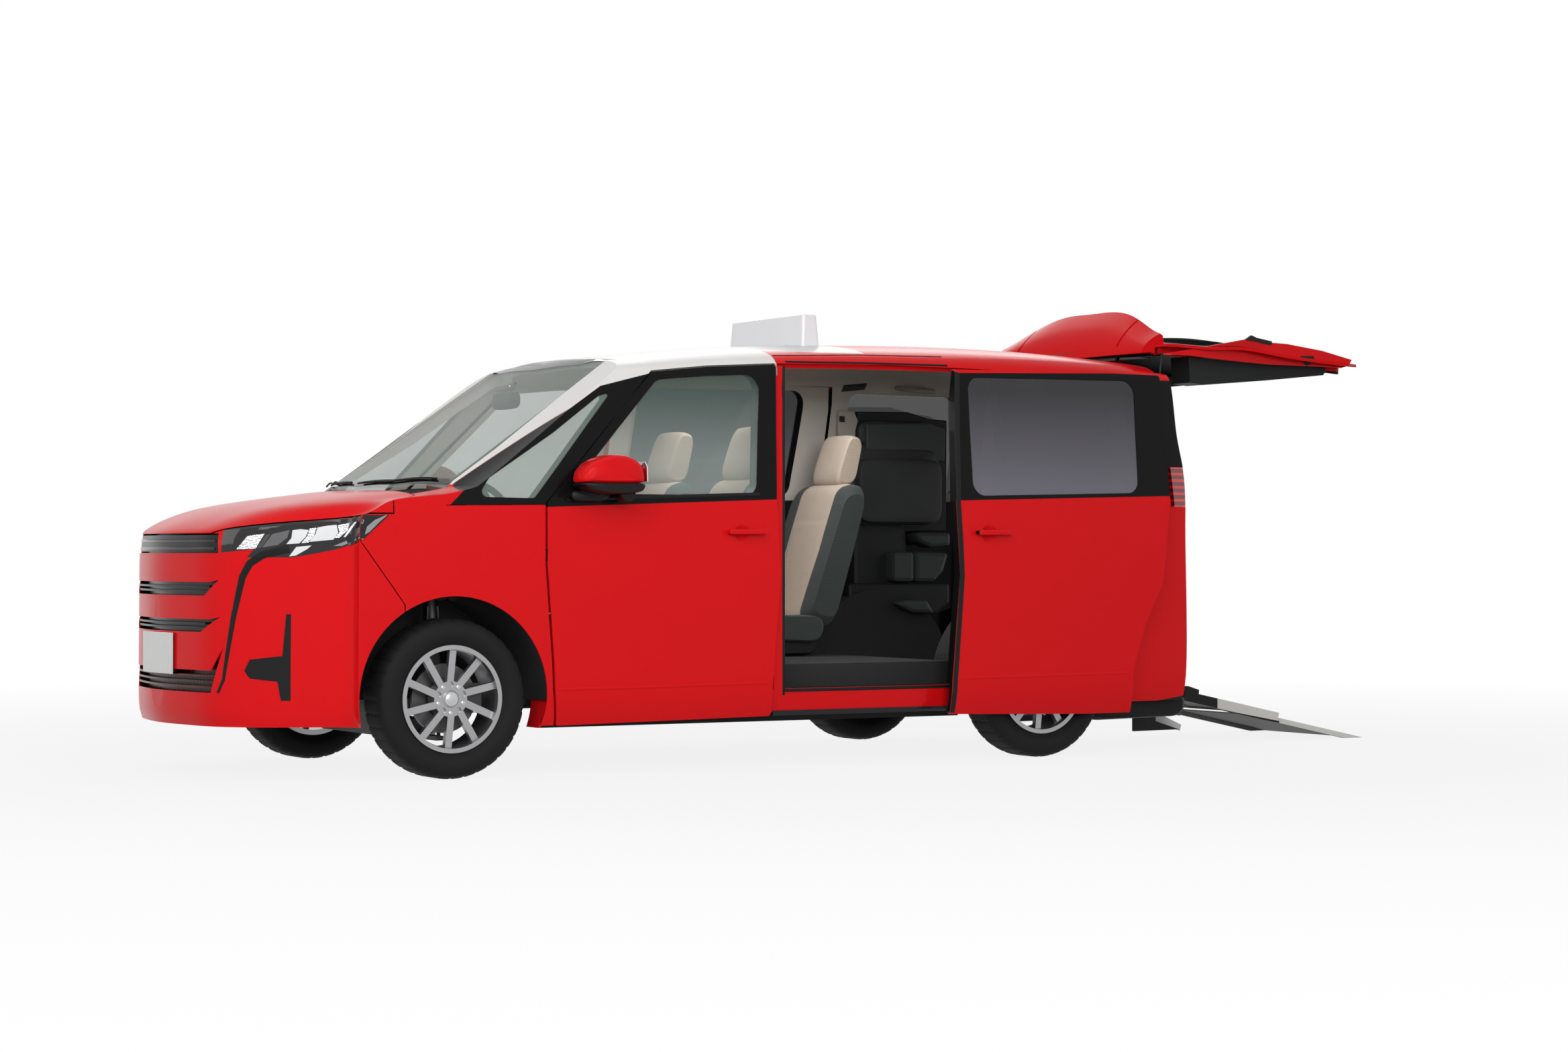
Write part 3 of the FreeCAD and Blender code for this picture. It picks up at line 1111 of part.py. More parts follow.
def make_rim(name):
    """Ten-spoke wheel with its barrel, hub, lug recesses, brake disc and bell."""
    face = "Sizes.RimWidth / 2"
    flange = "Sizes.RimWidth / 2 - Sizes.RimWall"
    body = turned_body(name, [
        (face, "Sizes.RimLipRadius"), (face, "Sizes.RimSeatRadius - Sizes.RimWall / 2"),
        ("Sizes.RimWidth * 0.38", "Sizes.RimSeatRadius - Sizes.RimWall"),
        ("-" + face, "Sizes.RimSeatRadius - Sizes.RimWall"), ("-" + face, "Sizes.RimLipRadius"),
        ("-Sizes.RimWidth / 2 + Sizes.RimWall", "Sizes.RimLipRadius"),
        ("-Sizes.RimWidth / 2 + Sizes.RimWall", "Sizes.RimSeatRadius"),
        (flange, "Sizes.RimSeatRadius"), (flange, "Sizes.RimLipRadius")])
    hub = outline_sketch(body, name + "_hub", "XY_Plane", [
        ("Sizes.HubFace", "0"), ("Sizes.HubFace", "Sizes.HubCapRadius"),
        ("Sizes.HubFace - Sizes.PinRadius", "Sizes.HubCapRadius + Sizes.PinRadius"),
        ("Sizes.HubFace - Sizes.PinRadius", "Sizes.HubRadius - Sizes.PinRadius"),
        ("Sizes.HubFace - Sizes.SpokeThickness", "Sizes.HubRadius"), ("Sizes.HubSeat", "Sizes.BellRadius"),
        ("-Sizes.DiscInset", "Sizes.BellRadius"), ("-Sizes.DiscInset", "Sizes.DiscRadius"),
        ("-Sizes.DiscInset - Sizes.DiscThickness", "Sizes.DiscRadius"),
        ("-Sizes.DiscInset - Sizes.DiscThickness", "Sizes.BellRadius - Sizes.RimWall"),
        ("Sizes.HubSeat", "Sizes.BellRadius - Sizes.RimWall"), ("Sizes.HubSeat", "0")])
    turn = body.newObject("PartDesign::Revolution", name + "_hub_turn")
    turn.Profile = hub
    turn.ReferenceAxis = (hub, ["H_Axis"])
    turn.Angle = 360
    doc.recompute()
    spoke = outline_sketch(body, name + "_spoke", "YZ_Plane", [
        ("Sizes.SpokeWidth * 0.35", "Sizes.HubRadius * 0.8"),
        ("Sizes.SpokeWidth * 0.75", "Sizes.RimSeatRadius - Sizes.RimWall / 2"),
        ("-Sizes.SpokeWidth * 0.1", "Sizes.RimSeatRadius - Sizes.RimWall / 2"),
        ("-Sizes.SpokeWidth * 0.5", "Sizes.HubRadius * 0.8")])
    spoke.AttachmentOffset = Placement(Vector(0, 0, S.HubFace - S.SpokeThickness - S.PinRadius), Rotation())
    spoke.setExpression("AttachmentOffset.Base.z", "Sizes.HubFace - Sizes.SpokeThickness - Sizes.PinRadius")
    pad = body.newObject("PartDesign::Pad", name + "_spoke_pad")
    pad.Profile = spoke
    pad.setExpression("Length", "Sizes.SpokeThickness")
    ring = body.newObject("PartDesign::PolarPattern", name + "_spokes")
    ring.Originals = [pad]
    ring.Axis = (hub, ["H_Axis"])
    ring.Angle = 360
    ring.setExpression("Occurrences", "Sizes.SpokeCount")
    body.Tip = ring
    doc.recompute()
    recess = circle_sketch(body, name + "_lug", "YZ_Plane", "0", "Sizes.LugCircle", "Sizes.LugRecess")
    recess.AttachmentOffset = Placement(Vector(0, 0, S.HubFace - S.LugRecess), Rotation())
    recess.setExpression("AttachmentOffset.Base.z", "Sizes.HubFace - Sizes.LugRecess")
    pocket = body.newObject("PartDesign::Pocket", name + "_lug_pocket")
    pocket.Profile = recess
    pocket.setExpression("Length", "Sizes.LugRecess")
    pocket.Reversed = True
    lugs = body.newObject("PartDesign::PolarPattern", name + "_lugs")
    lugs.Originals = [pocket]
    lugs.Axis = (hub, ["H_Axis"])
    lugs.Angle = 360
    lugs.setExpression("Occurrences", "Sizes.LugCount")
    body.Tip = lugs
    doc.recompute()
    return body


def make_wheels():
    for end, place, track in (("front", 0.0, S.FrontTrack), ("rear", S.Wheelbase, S.RearTrack)):
        for side, sign in (("left", 1), ("right", -1)):
            turn = Rotation(Vector(0, 0, 1), 0 if sign > 0 else 180)
            spot = Placement(Vector(sign * track / 2, place, S.TyreRadius), turn)
            tyre = make_tyre(f"tyre_{end}_{side}")
            rim = make_rim(f"wheel_{end}_{side}")
            for piece in (tyre, rim):
                piece.Placement = spot
                nodes[piece.Label] = piece


def kingpin(height):
    """Point on the left kingpin line at a height."""
    lean = math.radians(S.KingpinLean)
    x = S.FrontTrack / 2 - S.BallJointIn - (height - S.BallJointHeight) * math.tan(lean)
    return Vector(x, 0, height)


def knuckle_shape():
    """Left steering knuckle with spindle, brake caliper and the strut that stands on it."""
    centre = Vector(S.FrontTrack / 2, 0, S.TyreRadius)
    disc_back = S.DiscInset + S.DiscThickness
    spindle = rod(centre.add(Vector(-disc_back - 2 * S.StepThickness, 0, 0)),
                  centre.add(Vector(S.HubSeat - S.SeatGap, 0, 0)), S.SpindleRadius)
    carrier = rod(centre.add(Vector(-disc_back - 3 * S.StepThickness, 0, 0)),
                  centre.add(Vector(-disc_back - S.PinRadius, 0, 0)), S.CarrierRadius)
    ball = kingpin(S.BallJointHeight)
    low_arm = rod(ball, kingpin(S.TyreRadius), S.StrutRadius)
    tower_x = kingpin(S.StrutBottom).x
    half = S.StrutRadius
    upright = prism_front(((centre.x - disc_back - S.PinRadius, S.TyreRadius - half),
                           (centre.x - disc_back - S.PinRadius, S.TyreRadius + half),
                           (tower_x + 1.3 * half, S.TyreRadius + 3 * half),
                           (tower_x + 0.75 * half, S.TyreRadius + 7 * half),
                           (tower_x + half / 2, S.StrutBottom + half * 2),
                           (tower_x - half, S.StrutBottom + half * 2),
                           (tower_x - half, S.StrutBottom - half),
                           (centre.x - disc_back - 3 * S.StepThickness, S.TyreRadius - half)),
                          -half, half)
    tube = rod(kingpin(S.StrutBottom), kingpin(S.StrutTop - 3 * S.StrutRadius), S.StrutRadius)
    piston = rod(kingpin(S.StrutTop - 4 * S.StrutRadius), kingpin(S.StrutTop + S.StrutRadius),
                 S.StrutRodRadius)
    seat = rod(kingpin(S.StrutBottom + 3 * S.StrutRadius), kingpin(S.StrutBottom + 3.4 * S.StrutRadius),
               S.SpringRadius * 1.1)
    coil = rod(kingpin(S.StrutBottom + 3.4 * S.StrutRadius), kingpin(S.StrutTop - S.StrutRadius),
               S.SpringRadius)
    core = rod(kingpin(S.StrutBottom), kingpin(S.StrutTop + S.StrutRadius), S.SpringRadius - S.RimWall)
    coil = coil.cut(core)
    gap = S.ShutGap
    caliper = prism_side(((S.DiscRadius * 0.55, S.TyreRadius - S.CarrierRadius * 1.3),
                          (S.DiscRadius * 1.12, S.TyreRadius - S.CarrierRadius * 1.3),
                          (S.DiscRadius * 1.12, S.TyreRadius + S.CarrierRadius * 1.3),
                          (S.DiscRadius * 0.55, S.TyreRadius + S.CarrierRadius * 1.3)),
                         centre.x - disc_back - S.StepThickness - gap, centre.x + S.StepThickness * 0.7,
                         S.KnuckleRadius)
    slot = Part.makeCylinder(S.DiscRadius + gap, S.DiscThickness + 2 * gap,
                             Vector(centre.x - disc_back - gap, 0, S.TyreRadius), Vector(1, 0, 0))
    bell_room = Part.makeCylinder(S.BellRadius + gap, 2 * S.DiscRadius,
                                  Vector(centre.x - disc_back - gap, 0, S.TyreRadius), Vector(1, 0, 0))
    caliper = caliper.cut(slot).cut(bell_room)
    bridge = block(centre.x - disc_back - S.StepThickness - gap, centre.x - disc_back - gap,
                   0, S.DiscRadius, S.TyreRadius - half / 2, S.TyreRadius + half / 2)
    arm = rod(centre.add(Vector(-disc_back - 2 * S.StepThickness, 0, -half)),
              centre.add(Vector(-disc_back - 3.4 * S.StepThickness, S.DiscRadius, -half)), S.StrutRodRadius)
    return fused([carrier, spindle, low_arm, upright, tube, piston, seat, coil, caliper, bridge, arm])


def make_front_axle():
    knuckle = knuckle_shape()
    add("knuckle_left", knuckle)
    add("knuckle_right", mirror(knuckle))
    ball = kingpin(S.BallJointHeight)
    half = S.StrutRadius
    pivot_x = S.WellInner - S.PostDepth
    top = S.BallJointHeight - S.BallStud
    low = top - S.ArmThickness
    slim = 0.75 * half
    neck_x = ball.x - 5 * half
    corners = ((ball.x + slim, -slim), (ball.x + slim, slim), (neck_x, slim), (pivot_x, 5 * half),
               (pivot_x - half, 5 * half), (pivot_x - half, -3 * half), (pivot_x, -3 * half), (neck_x, -slim))
    arm = prism_plan(corners, low, top)
    stud = rod(kingpin(low + S.PinRadius), kingpin(S.BallJointHeight - S.SeatGap), S.PinRadius * 2)
    cross = block(-pivot_x, pivot_x, -3 * half, 5 * half, low, top + 2 * half)
    hollow = block(-pivot_x + 2 * half, pivot_x - 2 * half, -2 * half, 4 * half, 0, FAR)
    arm_and_stud = arm.fuse(stud)
    rack = rod(Vector(-pivot_x, 4.5 * half, top + half), Vector(pivot_x, 4.5 * half, top + half), half)
    add("front_subframe", fused([cross.cut(hollow), arm_and_stud, mirror(arm_and_stud), rack]))


def make_rear_axle():
    """Torsion beam with trailing arms and hub spindles, and a spring on each of its ends."""
    z = S.TyreRadius
    disc_back = S.DiscInset + S.DiscThickness
    arm_x, beam = rear_axle_places()
    pieces = [rod(Vector(-arm_x, beam.y, beam.z), Vector(arm_x, beam.y, beam.z), S.BeamRadius)]
    springs = []
    for sign in (-1, 1):
        hub_x = sign * S.RearTrack / 2
        hub = Vector(sign * arm_x, S.Wheelbase, z)
        pivot = Vector(sign * arm_x, S.Wheelbase - S.Overrun * 1.1, z)
        pieces.append(rod(pivot, hub, S.StrutRadius))
        pieces.append(rod(hub, Vector(hub_x - sign * (disc_back + S.PinRadius), S.Wheelbase, z),
                          S.CarrierRadius))
        pieces.append(rod(hub, Vector(hub_x + sign * (S.HubSeat - S.SeatGap), S.Wheelbase, z),
                          S.SpindleRadius))
        base = Vector(sign * beam.x, beam.y, beam.z + S.BeamRadius + S.SeatGap)
        springs.append(rod(base, Vector(base.x, base.y, S.SpringTop), S.CoilRadius))
    add("rear_axle", fused(pieces))
    add("rear_springs", Part.makeCompound(springs))


def rear_axle_places():
    """How far out the trailing arms lie, and the foot of the left spring on the beam."""
    arm_x = (S.RearTrack - S.TyreWidth) / 2 - S.StrutRadius - S.ShutGap - S.PinRadius
    return arm_x, Vector(arm_x - S.StrutRadius / 2, S.Wheelbase - S.Overrun / 2, S.TyreRadius + S.PinRadius)


def axle_room():
    """Room for the beam and the trailing arms in the floor and the wheel boxes."""
    arm_x, beam = rear_axle_places()
    gap = S.ShutGap
    across = rod(Vector(-FAR, beam.y, beam.z), Vector(FAR, beam.y, beam.z), S.BeamRadius + gap)
    under = block(-FAR, FAR, beam.y - S.BeamRadius - gap, beam.y + S.BeamRadius + gap, 0, beam.z)
    half = S.StrutRadius + gap
    arms = [block(sign * arm_x - half, sign * arm_x + half, S.Wheelbase - S.Overrun * 1.1 + gap,
                  S.Wheelbase, 0, S.TyreRadius + half) for sign in (-1, 1)]
    return [across, under] + arms


def make_liners():
    """Inner wheel-arch liners at the front and wheel boxes at the rear."""
    liners = []
    thick = S.LinerThickness
    for place, radius, inner, outer in (
            (0.0, S.FrontArchRadius, S.WellInner, S.HalfWidth),
            (S.Wheelbase, S.RearArchRadius, S.RearWellInner, S.HalfWidth)):
        drum = wheel_well(place, radius + thick, inner - thick, outer)
        drum = drum.cut(wheel_well(place, radius, inner, outer + S.Overrun))
        drum = drum.cut(block(0, FAR, -FAR, FAR, -FAR, S.ArchHeight - S.StepThickness))
        liners.append(drum.common(hull(GLASS_IN if place == 0 else S.PillarInset)))
    tower = kingpin(S.StrutTop)
    hole = rod(kingpin(S.StrutBottom), kingpin(S.StrutTop + S.Overrun), S.SpringRadius * 1.25)
    cup = rod(kingpin(S.StrutTop - S.StrutRadius + S.PinRadius), kingpin(S.StrutTop + S.PinRadius),
              S.SpringRadius * 1.5)
    cup = cup.cut(rod(kingpin(S.StrutBottom), kingpin(S.StrutTop + S.Overrun), S.StrutRodRadius + S.SeatGap))
    wall = block(tower.x - S.SpringRadius * 1.5, tower.x + S.SpringRadius * 1.5, -S.SpringRadius * 1.5,
                 S.SpringRadius * 1.5, S.ArchHeight + S.FrontArchRadius - S.StepThickness, tower.z)
    wall = wall.cut(rod(kingpin(S.StrutBottom), kingpin(S.StrutTop + S.Overrun), S.SpringRadius * 1.3))
    front = liners[0].cut(hole).fuse(wall).fuse(cup)
    add("front_wheel_boxes", Part.makeCompound([front, mirror(front)]))
    arm_x, beam = rear_axle_places()
    pad = block(beam.x - S.CoilRadius, beam.x + S.CoilRadius, beam.y - S.CoilRadius, beam.y + S.CoilRadius,
                S.SpringTop + S.SeatGap, FAR)
    pad = pad.common(wheel_well(S.Wheelbase, S.RearArchRadius + thick / 2, S.RearWellInner, FAR))
    return liners[1].fuse(pad)


def make_underbody():
    """Floor with its side channels, front rails, bulkhead and rear wheel boxes."""
    thick = S.FloorThickness
    start = 0.16 * S.Wheelbase
    half = S.SillInner - S.SeatGap
    kick = 0.865 * S.Wheelbase
    narrow = S.RearWellInner - S.LinerThickness
    deck = block(-half, half, start, kick, S.FloorHeight - thick, S.FloorHeight)
    slope_end = S.FloorEnd + S.HingeGap
    slope = prism_side(((kick, S.FloorHeight - thick), (kick, S.FloorHeight), (slope_end, S.LoadFloorHeight),
                        (slope_end, S.LoadFloorHeight - thick)), -narrow, narrow)
    walls = [block(sign * half - (thick if sign > 0 else 0), sign * half + (0 if sign > 0 else thick),
                   start, kick, S.SillBottom + thick, S.FloorHeight - thick) for sign in (-1, 1)]
    bulkhead = prism_side(((start - thick, S.FloorHeight - thick), (start, S.FloorHeight - thick),
                           (start, S.FloorHeight + S.Overrun / 4), (0.04 * S.Wheelbase, 0.60 * S.RoofHeight),
                           (0.04 * S.Wheelbase - thick, 0.60 * S.RoofHeight),
                           (start - thick, S.FloorHeight + S.Overrun / 4)), -half, half)
    well_room = [front_well, mirror(front_well)]
    rails = [block(x - S.StrutRadius * 1.5, x + S.StrutRadius * 1.5, -0.26 * S.Wheelbase, start,
                   S.FloorHeight, S.FloorHeight + 3 * S.StrutRadius)
             for x in (-S.WellInner + 3 * S.StrutRadius, S.WellInner - 3 * S.StrutRadius)]
    beam = block(-0.5 * S.HalfWidth, 0.5 * S.HalfWidth, -0.27 * S.Wheelbase, -0.26 * S.Wheelbase,
                 S.FloorHeight, S.FloorHeight + 4 * S.StrutRadius)
    back_rails = [block(x - S.StrutRadius, x + S.StrutRadius, start, S.FloorEnd - S.StepThickness,
                        S.LoadFloorHeight - 2 * thick, S.FloorHeight - thick)
                  for x in (-narrow + S.StrutRadius, narrow - S.StrutRadius)]
    trimmer = prism_side(((start, 0), (start, S.FloorHeight - thick), (kick, S.FloorHeight - thick),
                          (S.FloorEnd, S.LoadFloorHeight - thick), (S.FloorEnd, 0)), -FAR, FAR)
    room = axle_room()
    back_rails = [rail.common(trimmer).cut(room) for rail in back_rails]
    ears = []
    for sign in (-1, 1):
        middle = sign * (S.RampHalfWidth + S.RampEar)
        ear = block(middle - S.RampEar / 2, middle + S.RampEar / 2, S.FloorEnd - S.PostDepth,
                    S.RampAxisY + S.RampEar, S.RampAxisZ - S.RampEar, S.RampAxisZ + S.RampEar)
        hole = rod(Vector(middle - S.RampEar, S.RampAxisY, S.RampAxisZ),
                   Vector(middle + S.RampEar, S.RampAxisY, S.RampAxisZ), S.StayTubeRadius + S.SeatGap)
        ears.append(ear.cut(hole))
    box = make_liners().cut(room)
    pieces = [deck, slope] + ears + walls + [bulkhead.cut(well_room)] + [beam] + rails + back_rails
    pieces += [box, mirror(box)]
    whole = pieces[0].multiFuse(pieces[1:])
    add("underbody", whole)


def make_engine():
    engine = doc.addObject("Part::Box", "engine")
    bind(engine, Length="Sizes.EngineWidth", Width="Sizes.EngineLength", Height="Sizes.EngineHeight")
    bind(engine, Placement__Base__x="-Sizes.EngineWidth / 2", Placement__Base__y="Sizes.EngineFront",
         Placement__Base__z="Sizes.EngineBottom")
    nodes["engine"] = engine


def make_tank():
    """Fuel tank under the floor, a padded outline with rounded edges."""
    tank = doc.addObject("PartDesign::Body", "fuel_tank")
    tank.Label = "fuel_tank"
    front = "Sizes.TankFront"
    back = "Sizes.TankFront + Sizes.TankLength"
    left = "Sizes.TankCentre + Sizes.TankWidth / 2"
    right = "Sizes.TankCentre - Sizes.TankWidth / 2"
    sketch = outline_sketch(tank, "tank_outline", "XY_Plane", [
        (right, front), (left, front), (left, back), (right, back)])
    sketch.AttachmentOffset = Placement(Vector(0, 0, S.TankBottom), Rotation())
    sketch.setExpression("AttachmentOffset.Base.z", "Sizes.TankBottom")
    pad = tank.newObject("PartDesign::Pad", "tank_pad")
    pad.Profile = sketch
    pad.setExpression("Length", "Sizes.TankHeight")
    doc.recompute()
    rounding = tank.newObject("PartDesign::Fillet", "tank_rounding")
    rounding.Base = (pad, [f"Edge{number + 1}" for number in range(len(pad.Shape.Edges))])
    rounding.setExpression("Radius", "Sizes.StepThickness")
    tank.Tip = rounding
    nodes["fuel_tank"] = tank


def make_exhaust():
    """Exhaust pipe with a muffler ahead of the rear axle."""
    ceiling = S.FloorHeight - S.FloorThickness
    z = S.SillBottom + S.MufflerRadius
    x = -S.HalfWidth * 0.3
    muffler_start = S.TankFront + S.TankLength + S.PostDepth
    pipe = rod(Vector(x, S.BonnetAxisY + 2 * S.Overrun, z), Vector(x, muffler_start, z), S.PipeRadius)
    engine_back = S.EngineFront + S.EngineLength + S.SeatGap
    front = rod(Vector(x, S.BonnetAxisY + 2 * S.Overrun, z), Vector(x, engine_back, z + 2 * S.PostDepth),
                S.PipeRadius).cut(block(-FAR, FAR, -FAR, engine_back, 0, FAR))
    joint = Part.makeSphere(S.PipeRadius, Vector(x, S.BonnetAxisY + 2 * S.Overrun, z))
    muffler = rod(Vector(x, muffler_start, z), Vector(x, muffler_start + S.MufflerLength, z),
                  S.MufflerRadius * 0.8)
    hangers = [block(x - S.PinRadius, x + S.PinRadius, y, y + S.StepThickness, z, ceiling - S.SeatGap)
               for y in (muffler_start - 2 * S.Overrun, muffler_start + S.StepThickness)]
    add("exhaust", fused([pipe, front, joint, muffler] + hangers))


def make_roof_sign():
    """Lamp box across the roof, narrower at its top."""
    half = S.SignWidth / 2
    low = S.RoofHeight * 0.97
    high = S.RoofHeight + S.SignHeight
    front = S.SignFront
    back = S.SignFront + S.SignDepth
    taper = S.SignTaper
    lower = Part.makePolygon([Vector(x, y, low) for x, y in (
        (-half, front), (half, front), (half, back), (-half, back), (-half, front))])
    upper = Part.makePolygon([Vector(x, y, high) for x, y in (
        (-half + taper, front + taper), (half - taper, front + taper), (half - taper, back - taper),
        (-half + taper, back - taper), (-half + taper, front + taper))])
    box = Part.makeLoft([lower, upper], True, True)
    upright = [edge for edge in box.Edges if edge.BoundBox.ZLength > S.SignHeight / 2]
    box = box.makeFillet(taper, upright)
    top = [edge for edge in box.Edges if edge.BoundBox.ZMin > high - taper / 4]
    box = box.makeFillet(taper / 2, top)
    add("roof_sign", box.cut(hull(0)).translated(Vector(0, 0, S.SeatGap)))


def make_dashboard():
    profile = ((0.112, 0.44), (0.20, 0.445), (0.235, 0.50), (0.23, 0.555), (0.19, 0.60), (0.11, 0.612),
               (0.065, 0.606), (0.098, 0.53))
    half = S.HalfWidth - DEEP - S.RunningGap - S.StepThickness
    dash = prism_side(side_points(profile), -half, half, S.StepThickness)
    dash = dash.common(hull(S.PillarInset))
    post_end = door_axis()[1] - S.PostReach + S.ShutGap
    edge = S.SillInner - S.ShutGap
    for low, high in ((-FAR, -edge), (edge, FAR)):
        dash = dash.cut(block(low, high, -FAR, post_end, 0, FAR))
    foot_share = (S.FloorHeight + S.SeatGap) / S.RoofHeight
    console = prism_side(side_points(((0.17, foot_share), (0.28, foot_share), (0.27, 0.33), (0.215, 0.45),
                                      (0.17, 0.45))), -S.SeatWidth * 0.22, S.SeatWidth * 0.22)
    post = S.DriverX + S.StepThickness
    dash = dash.fuse(console)
    axis = steering_axis()
    centre = Vector(-S.DriverX, S.SteeringY, S.SteeringZ)
    column = rod(centre.add(Vector(axis).multiply(-S.StepThickness - S.SeatGap)),
                 centre.add(Vector(axis).multiply(-post * 0.75)), S.ColumnRadius * 1.5)
    add("dashboard", dash.fuse(column))


def steering_axis():
    """Direction of the steering column, towards the driver."""
    lean = math.radians(S.SteeringLean)
    return Vector(0, math.sin(lean), math.cos(lean))


def make_steering_wheel():
    ring = Part.makeTorus(S.SteeringRadius, S.SteeringRim)
    boss = Part.makeCylinder(S.SteeringRadius * 0.34, S.StepThickness * 2, Vector(0, 0, -S.StepThickness))
    spokes = [block(-S.SteeringRadius, S.SteeringRadius, -S.SteeringRim, S.SteeringRim, -S.SteeringRim / 2,
                    S.SteeringRim / 2),
              block(-S.SteeringRim, S.SteeringRim, -S.SteeringRadius, 0, -S.SteeringRim / 2,
                    S.SteeringRim / 2)]
    wheel = fused([ring, boss] + spokes)
    turn = Rotation(Vector(0, 0, 1), steering_axis())
    wheel.Placement = Placement(Vector(-S.DriverX, S.SteeringY, S.SteeringZ), turn)
    add("steering_wheel", wheel)


SEAT_BASE_SHARES = ((-0.83, 0.0), (-0.04, 0.0), (0.11, 0.33), (-0.04, 0.33), (-0.81, 0.09))
SEAT_CUSHION_SHARES = ((-0.96, 0.09), (-0.04, 0.06), (0.0, 0.19), (-0.85, 0.23), (-1.0, 0.18))
SEAT_BACK_SHARES = ((-0.21, 0.17), (0.08, 0.13), (0.44, 0.76), (0.385, 0.81), (0.21, 0.79))
SEAT_REST_SHARES = ((0.23, 0.78), (0.44, 0.78), (0.53, 1.01), (0.385, 1.03))


def seat_shape(x, along, half):
    """Plain seat: base, cushion, reclined back and headrest, joined."""
    pieces = []
    for shares, width, radius in ((SEAT_BASE_SHARES, 0.8 * half, 0.0),
                                  (SEAT_CUSHION_SHARES, half, S.PostDepth),
                                  (SEAT_BACK_SHARES, half, S.PostDepth),
                                  (SEAT_REST_SHARES, S.HeadrestWidth / 2, S.PostDepth)):
        outline = [(along + back * S.SeatDepth, S.FloorHeight + up * S.SeatHeight) for back, up in shares]
        pieces.append(prism_side(outline, x - width, x + width, radius))
    return pieces


def make_seats():
    half = S.SeatWidth / 2
    row_one = 0.53 * S.Wheelbase
    row_two = 0.845 * S.Wheelbase
    front = []
    for x in (-S.DriverX, S.DriverX):
        pieces = seat_shape(x, row_one - S.Overrun / 4, half)
        front.append(pieces[0].multiFuse(pieces[1:]))
    add("front_seats", Part.makeCompound(front))
    pieces = seat_shape(-S.DriverX, row_two - S.Overrun / 4, half)
    add("second_row_seat", pieces[0].multiFuse(pieces[1:]))
    outer = S.HalfWidth - DEEP - 3 * S.StepThickness
    folded = prism_side(side_points(((0.955, 0.56), (1.14, 0.55), (1.155, 0.70), (1.13, 0.83), (1.0, 0.84),
                                     (0.965, 0.80))), outer - 3 * S.PostDepth, outer, S.PostDepth / 2)
    foot = prism_side(side_points(((0.97, 0.36), (1.08, 0.36), (1.13, 0.57), (0.98, 0.57))),
                      outer - 2 * S.PostDepth, outer + S.StepThickness)
    foot = foot.cut(wheel_well(S.Wheelbase, S.RearArchRadius + S.LinerThickness + S.SeatGap, 0, FAR))
    folded = folded.fuse(foot).common(hull(S.PillarInset))
    add("third_row_seats", Part.makeCompound([folded, mirror(folded)]))


def slide_band(extra):
    """Level band along the rear quarter where the sliding door's middle rail runs."""
    middle = 0.592 * S.RoofHeight
    half = S.KnuckleRadius - extra
    return block(SIDE_FROM, FAR, 0.90 * S.Wheelbase + extra, 1.245 * S.Wheelbase - extra, middle - half,
                 middle + half)


def make_slide_gear():
    """Rails of the sliding doors, and the two arms on which the open one stands out."""
    door_room = prism_side(grown(sliding_door_outline, S.SeatGap), SIDE_FROM, FAR)
    rail = whole_pieces(layer(S.GlassInset, GLASS_IN, slide_band(S.SeatGap)).cut(door_room))
    low = S.SillBottom + S.StepThickness
    sill_rail = whole_pieces(layer(S.SkinThickness * 5, S.SkinThickness * 6, block(
        SIDE_FROM, FAR, 0.52 * S.Wheelbase, 0.845 * S.Wheelbase, low, low + S.StepThickness)))
    sill_rail = sill_rail.translated(Vector(S.SeatGap, 0, 0))
    door_x = S.HalfWidth + S.SlideOut
    low_x = S.HalfWidth - 2 * S.StepThickness
    near = 0.775 * S.Wheelbase
    far = 0.825 * S.Wheelbase
    low_arm = prism_plan(((low_x, near), (low_x, near + S.PostDepth), (door_x, far + S.PostDepth), (door_x, far)),
                         low + S.PinRadius, low + 3 * S.PinRadius)
    middle = 0.592 * S.RoofHeight
    back = 0.929 * S.Wheelbase + S.SlideTravel - 2 * S.PostDepth
    high_arm = block(SIDE_FROM, door_x, back, back + S.PostDepth, middle - S.PinRadius, middle + S.PinRadius)
    shift = Vector(S.SlideOut, S.SlideTravel, 0)
    arms = [low_arm.cut(hull(S.SkinThickness * 5)).common(hull(S.StepThickness).translated(shift)),
            high_arm.cut(hull(S.GlassInset)).common(hull(DEEP + S.SeatGap).translated(shift))]
    add("slide_gear", Part.makeCompound([rail, mirror(rail), sill_rail, mirror(sill_rail)]
                                        + [whole_pieces(arm) for arm in arms]))


def build():
    make_roof()
    make_windscreen()
    make_bonnet()
    make_fenders()
    make_headlamps()
    make_front_bumper()
    make_grille()
    make_front_doors()
    make_sliding_doors()
    make_body_sides()
    make_fixed_glass()
    make_cowl()
    make_rear_bumper()
    make_tail_lamps()
    make_gate()
    make_stays()
    make_ramp()
    make_underbody()
    make_front_axle()
    make_rear_axle()
    make_wheels()
    make_engine()
    make_tank()
    make_exhaust()
    make_roof_sign()
    make_dashboard()
    make_steering_wheel()
    make_seats()
    make_slide_gear()


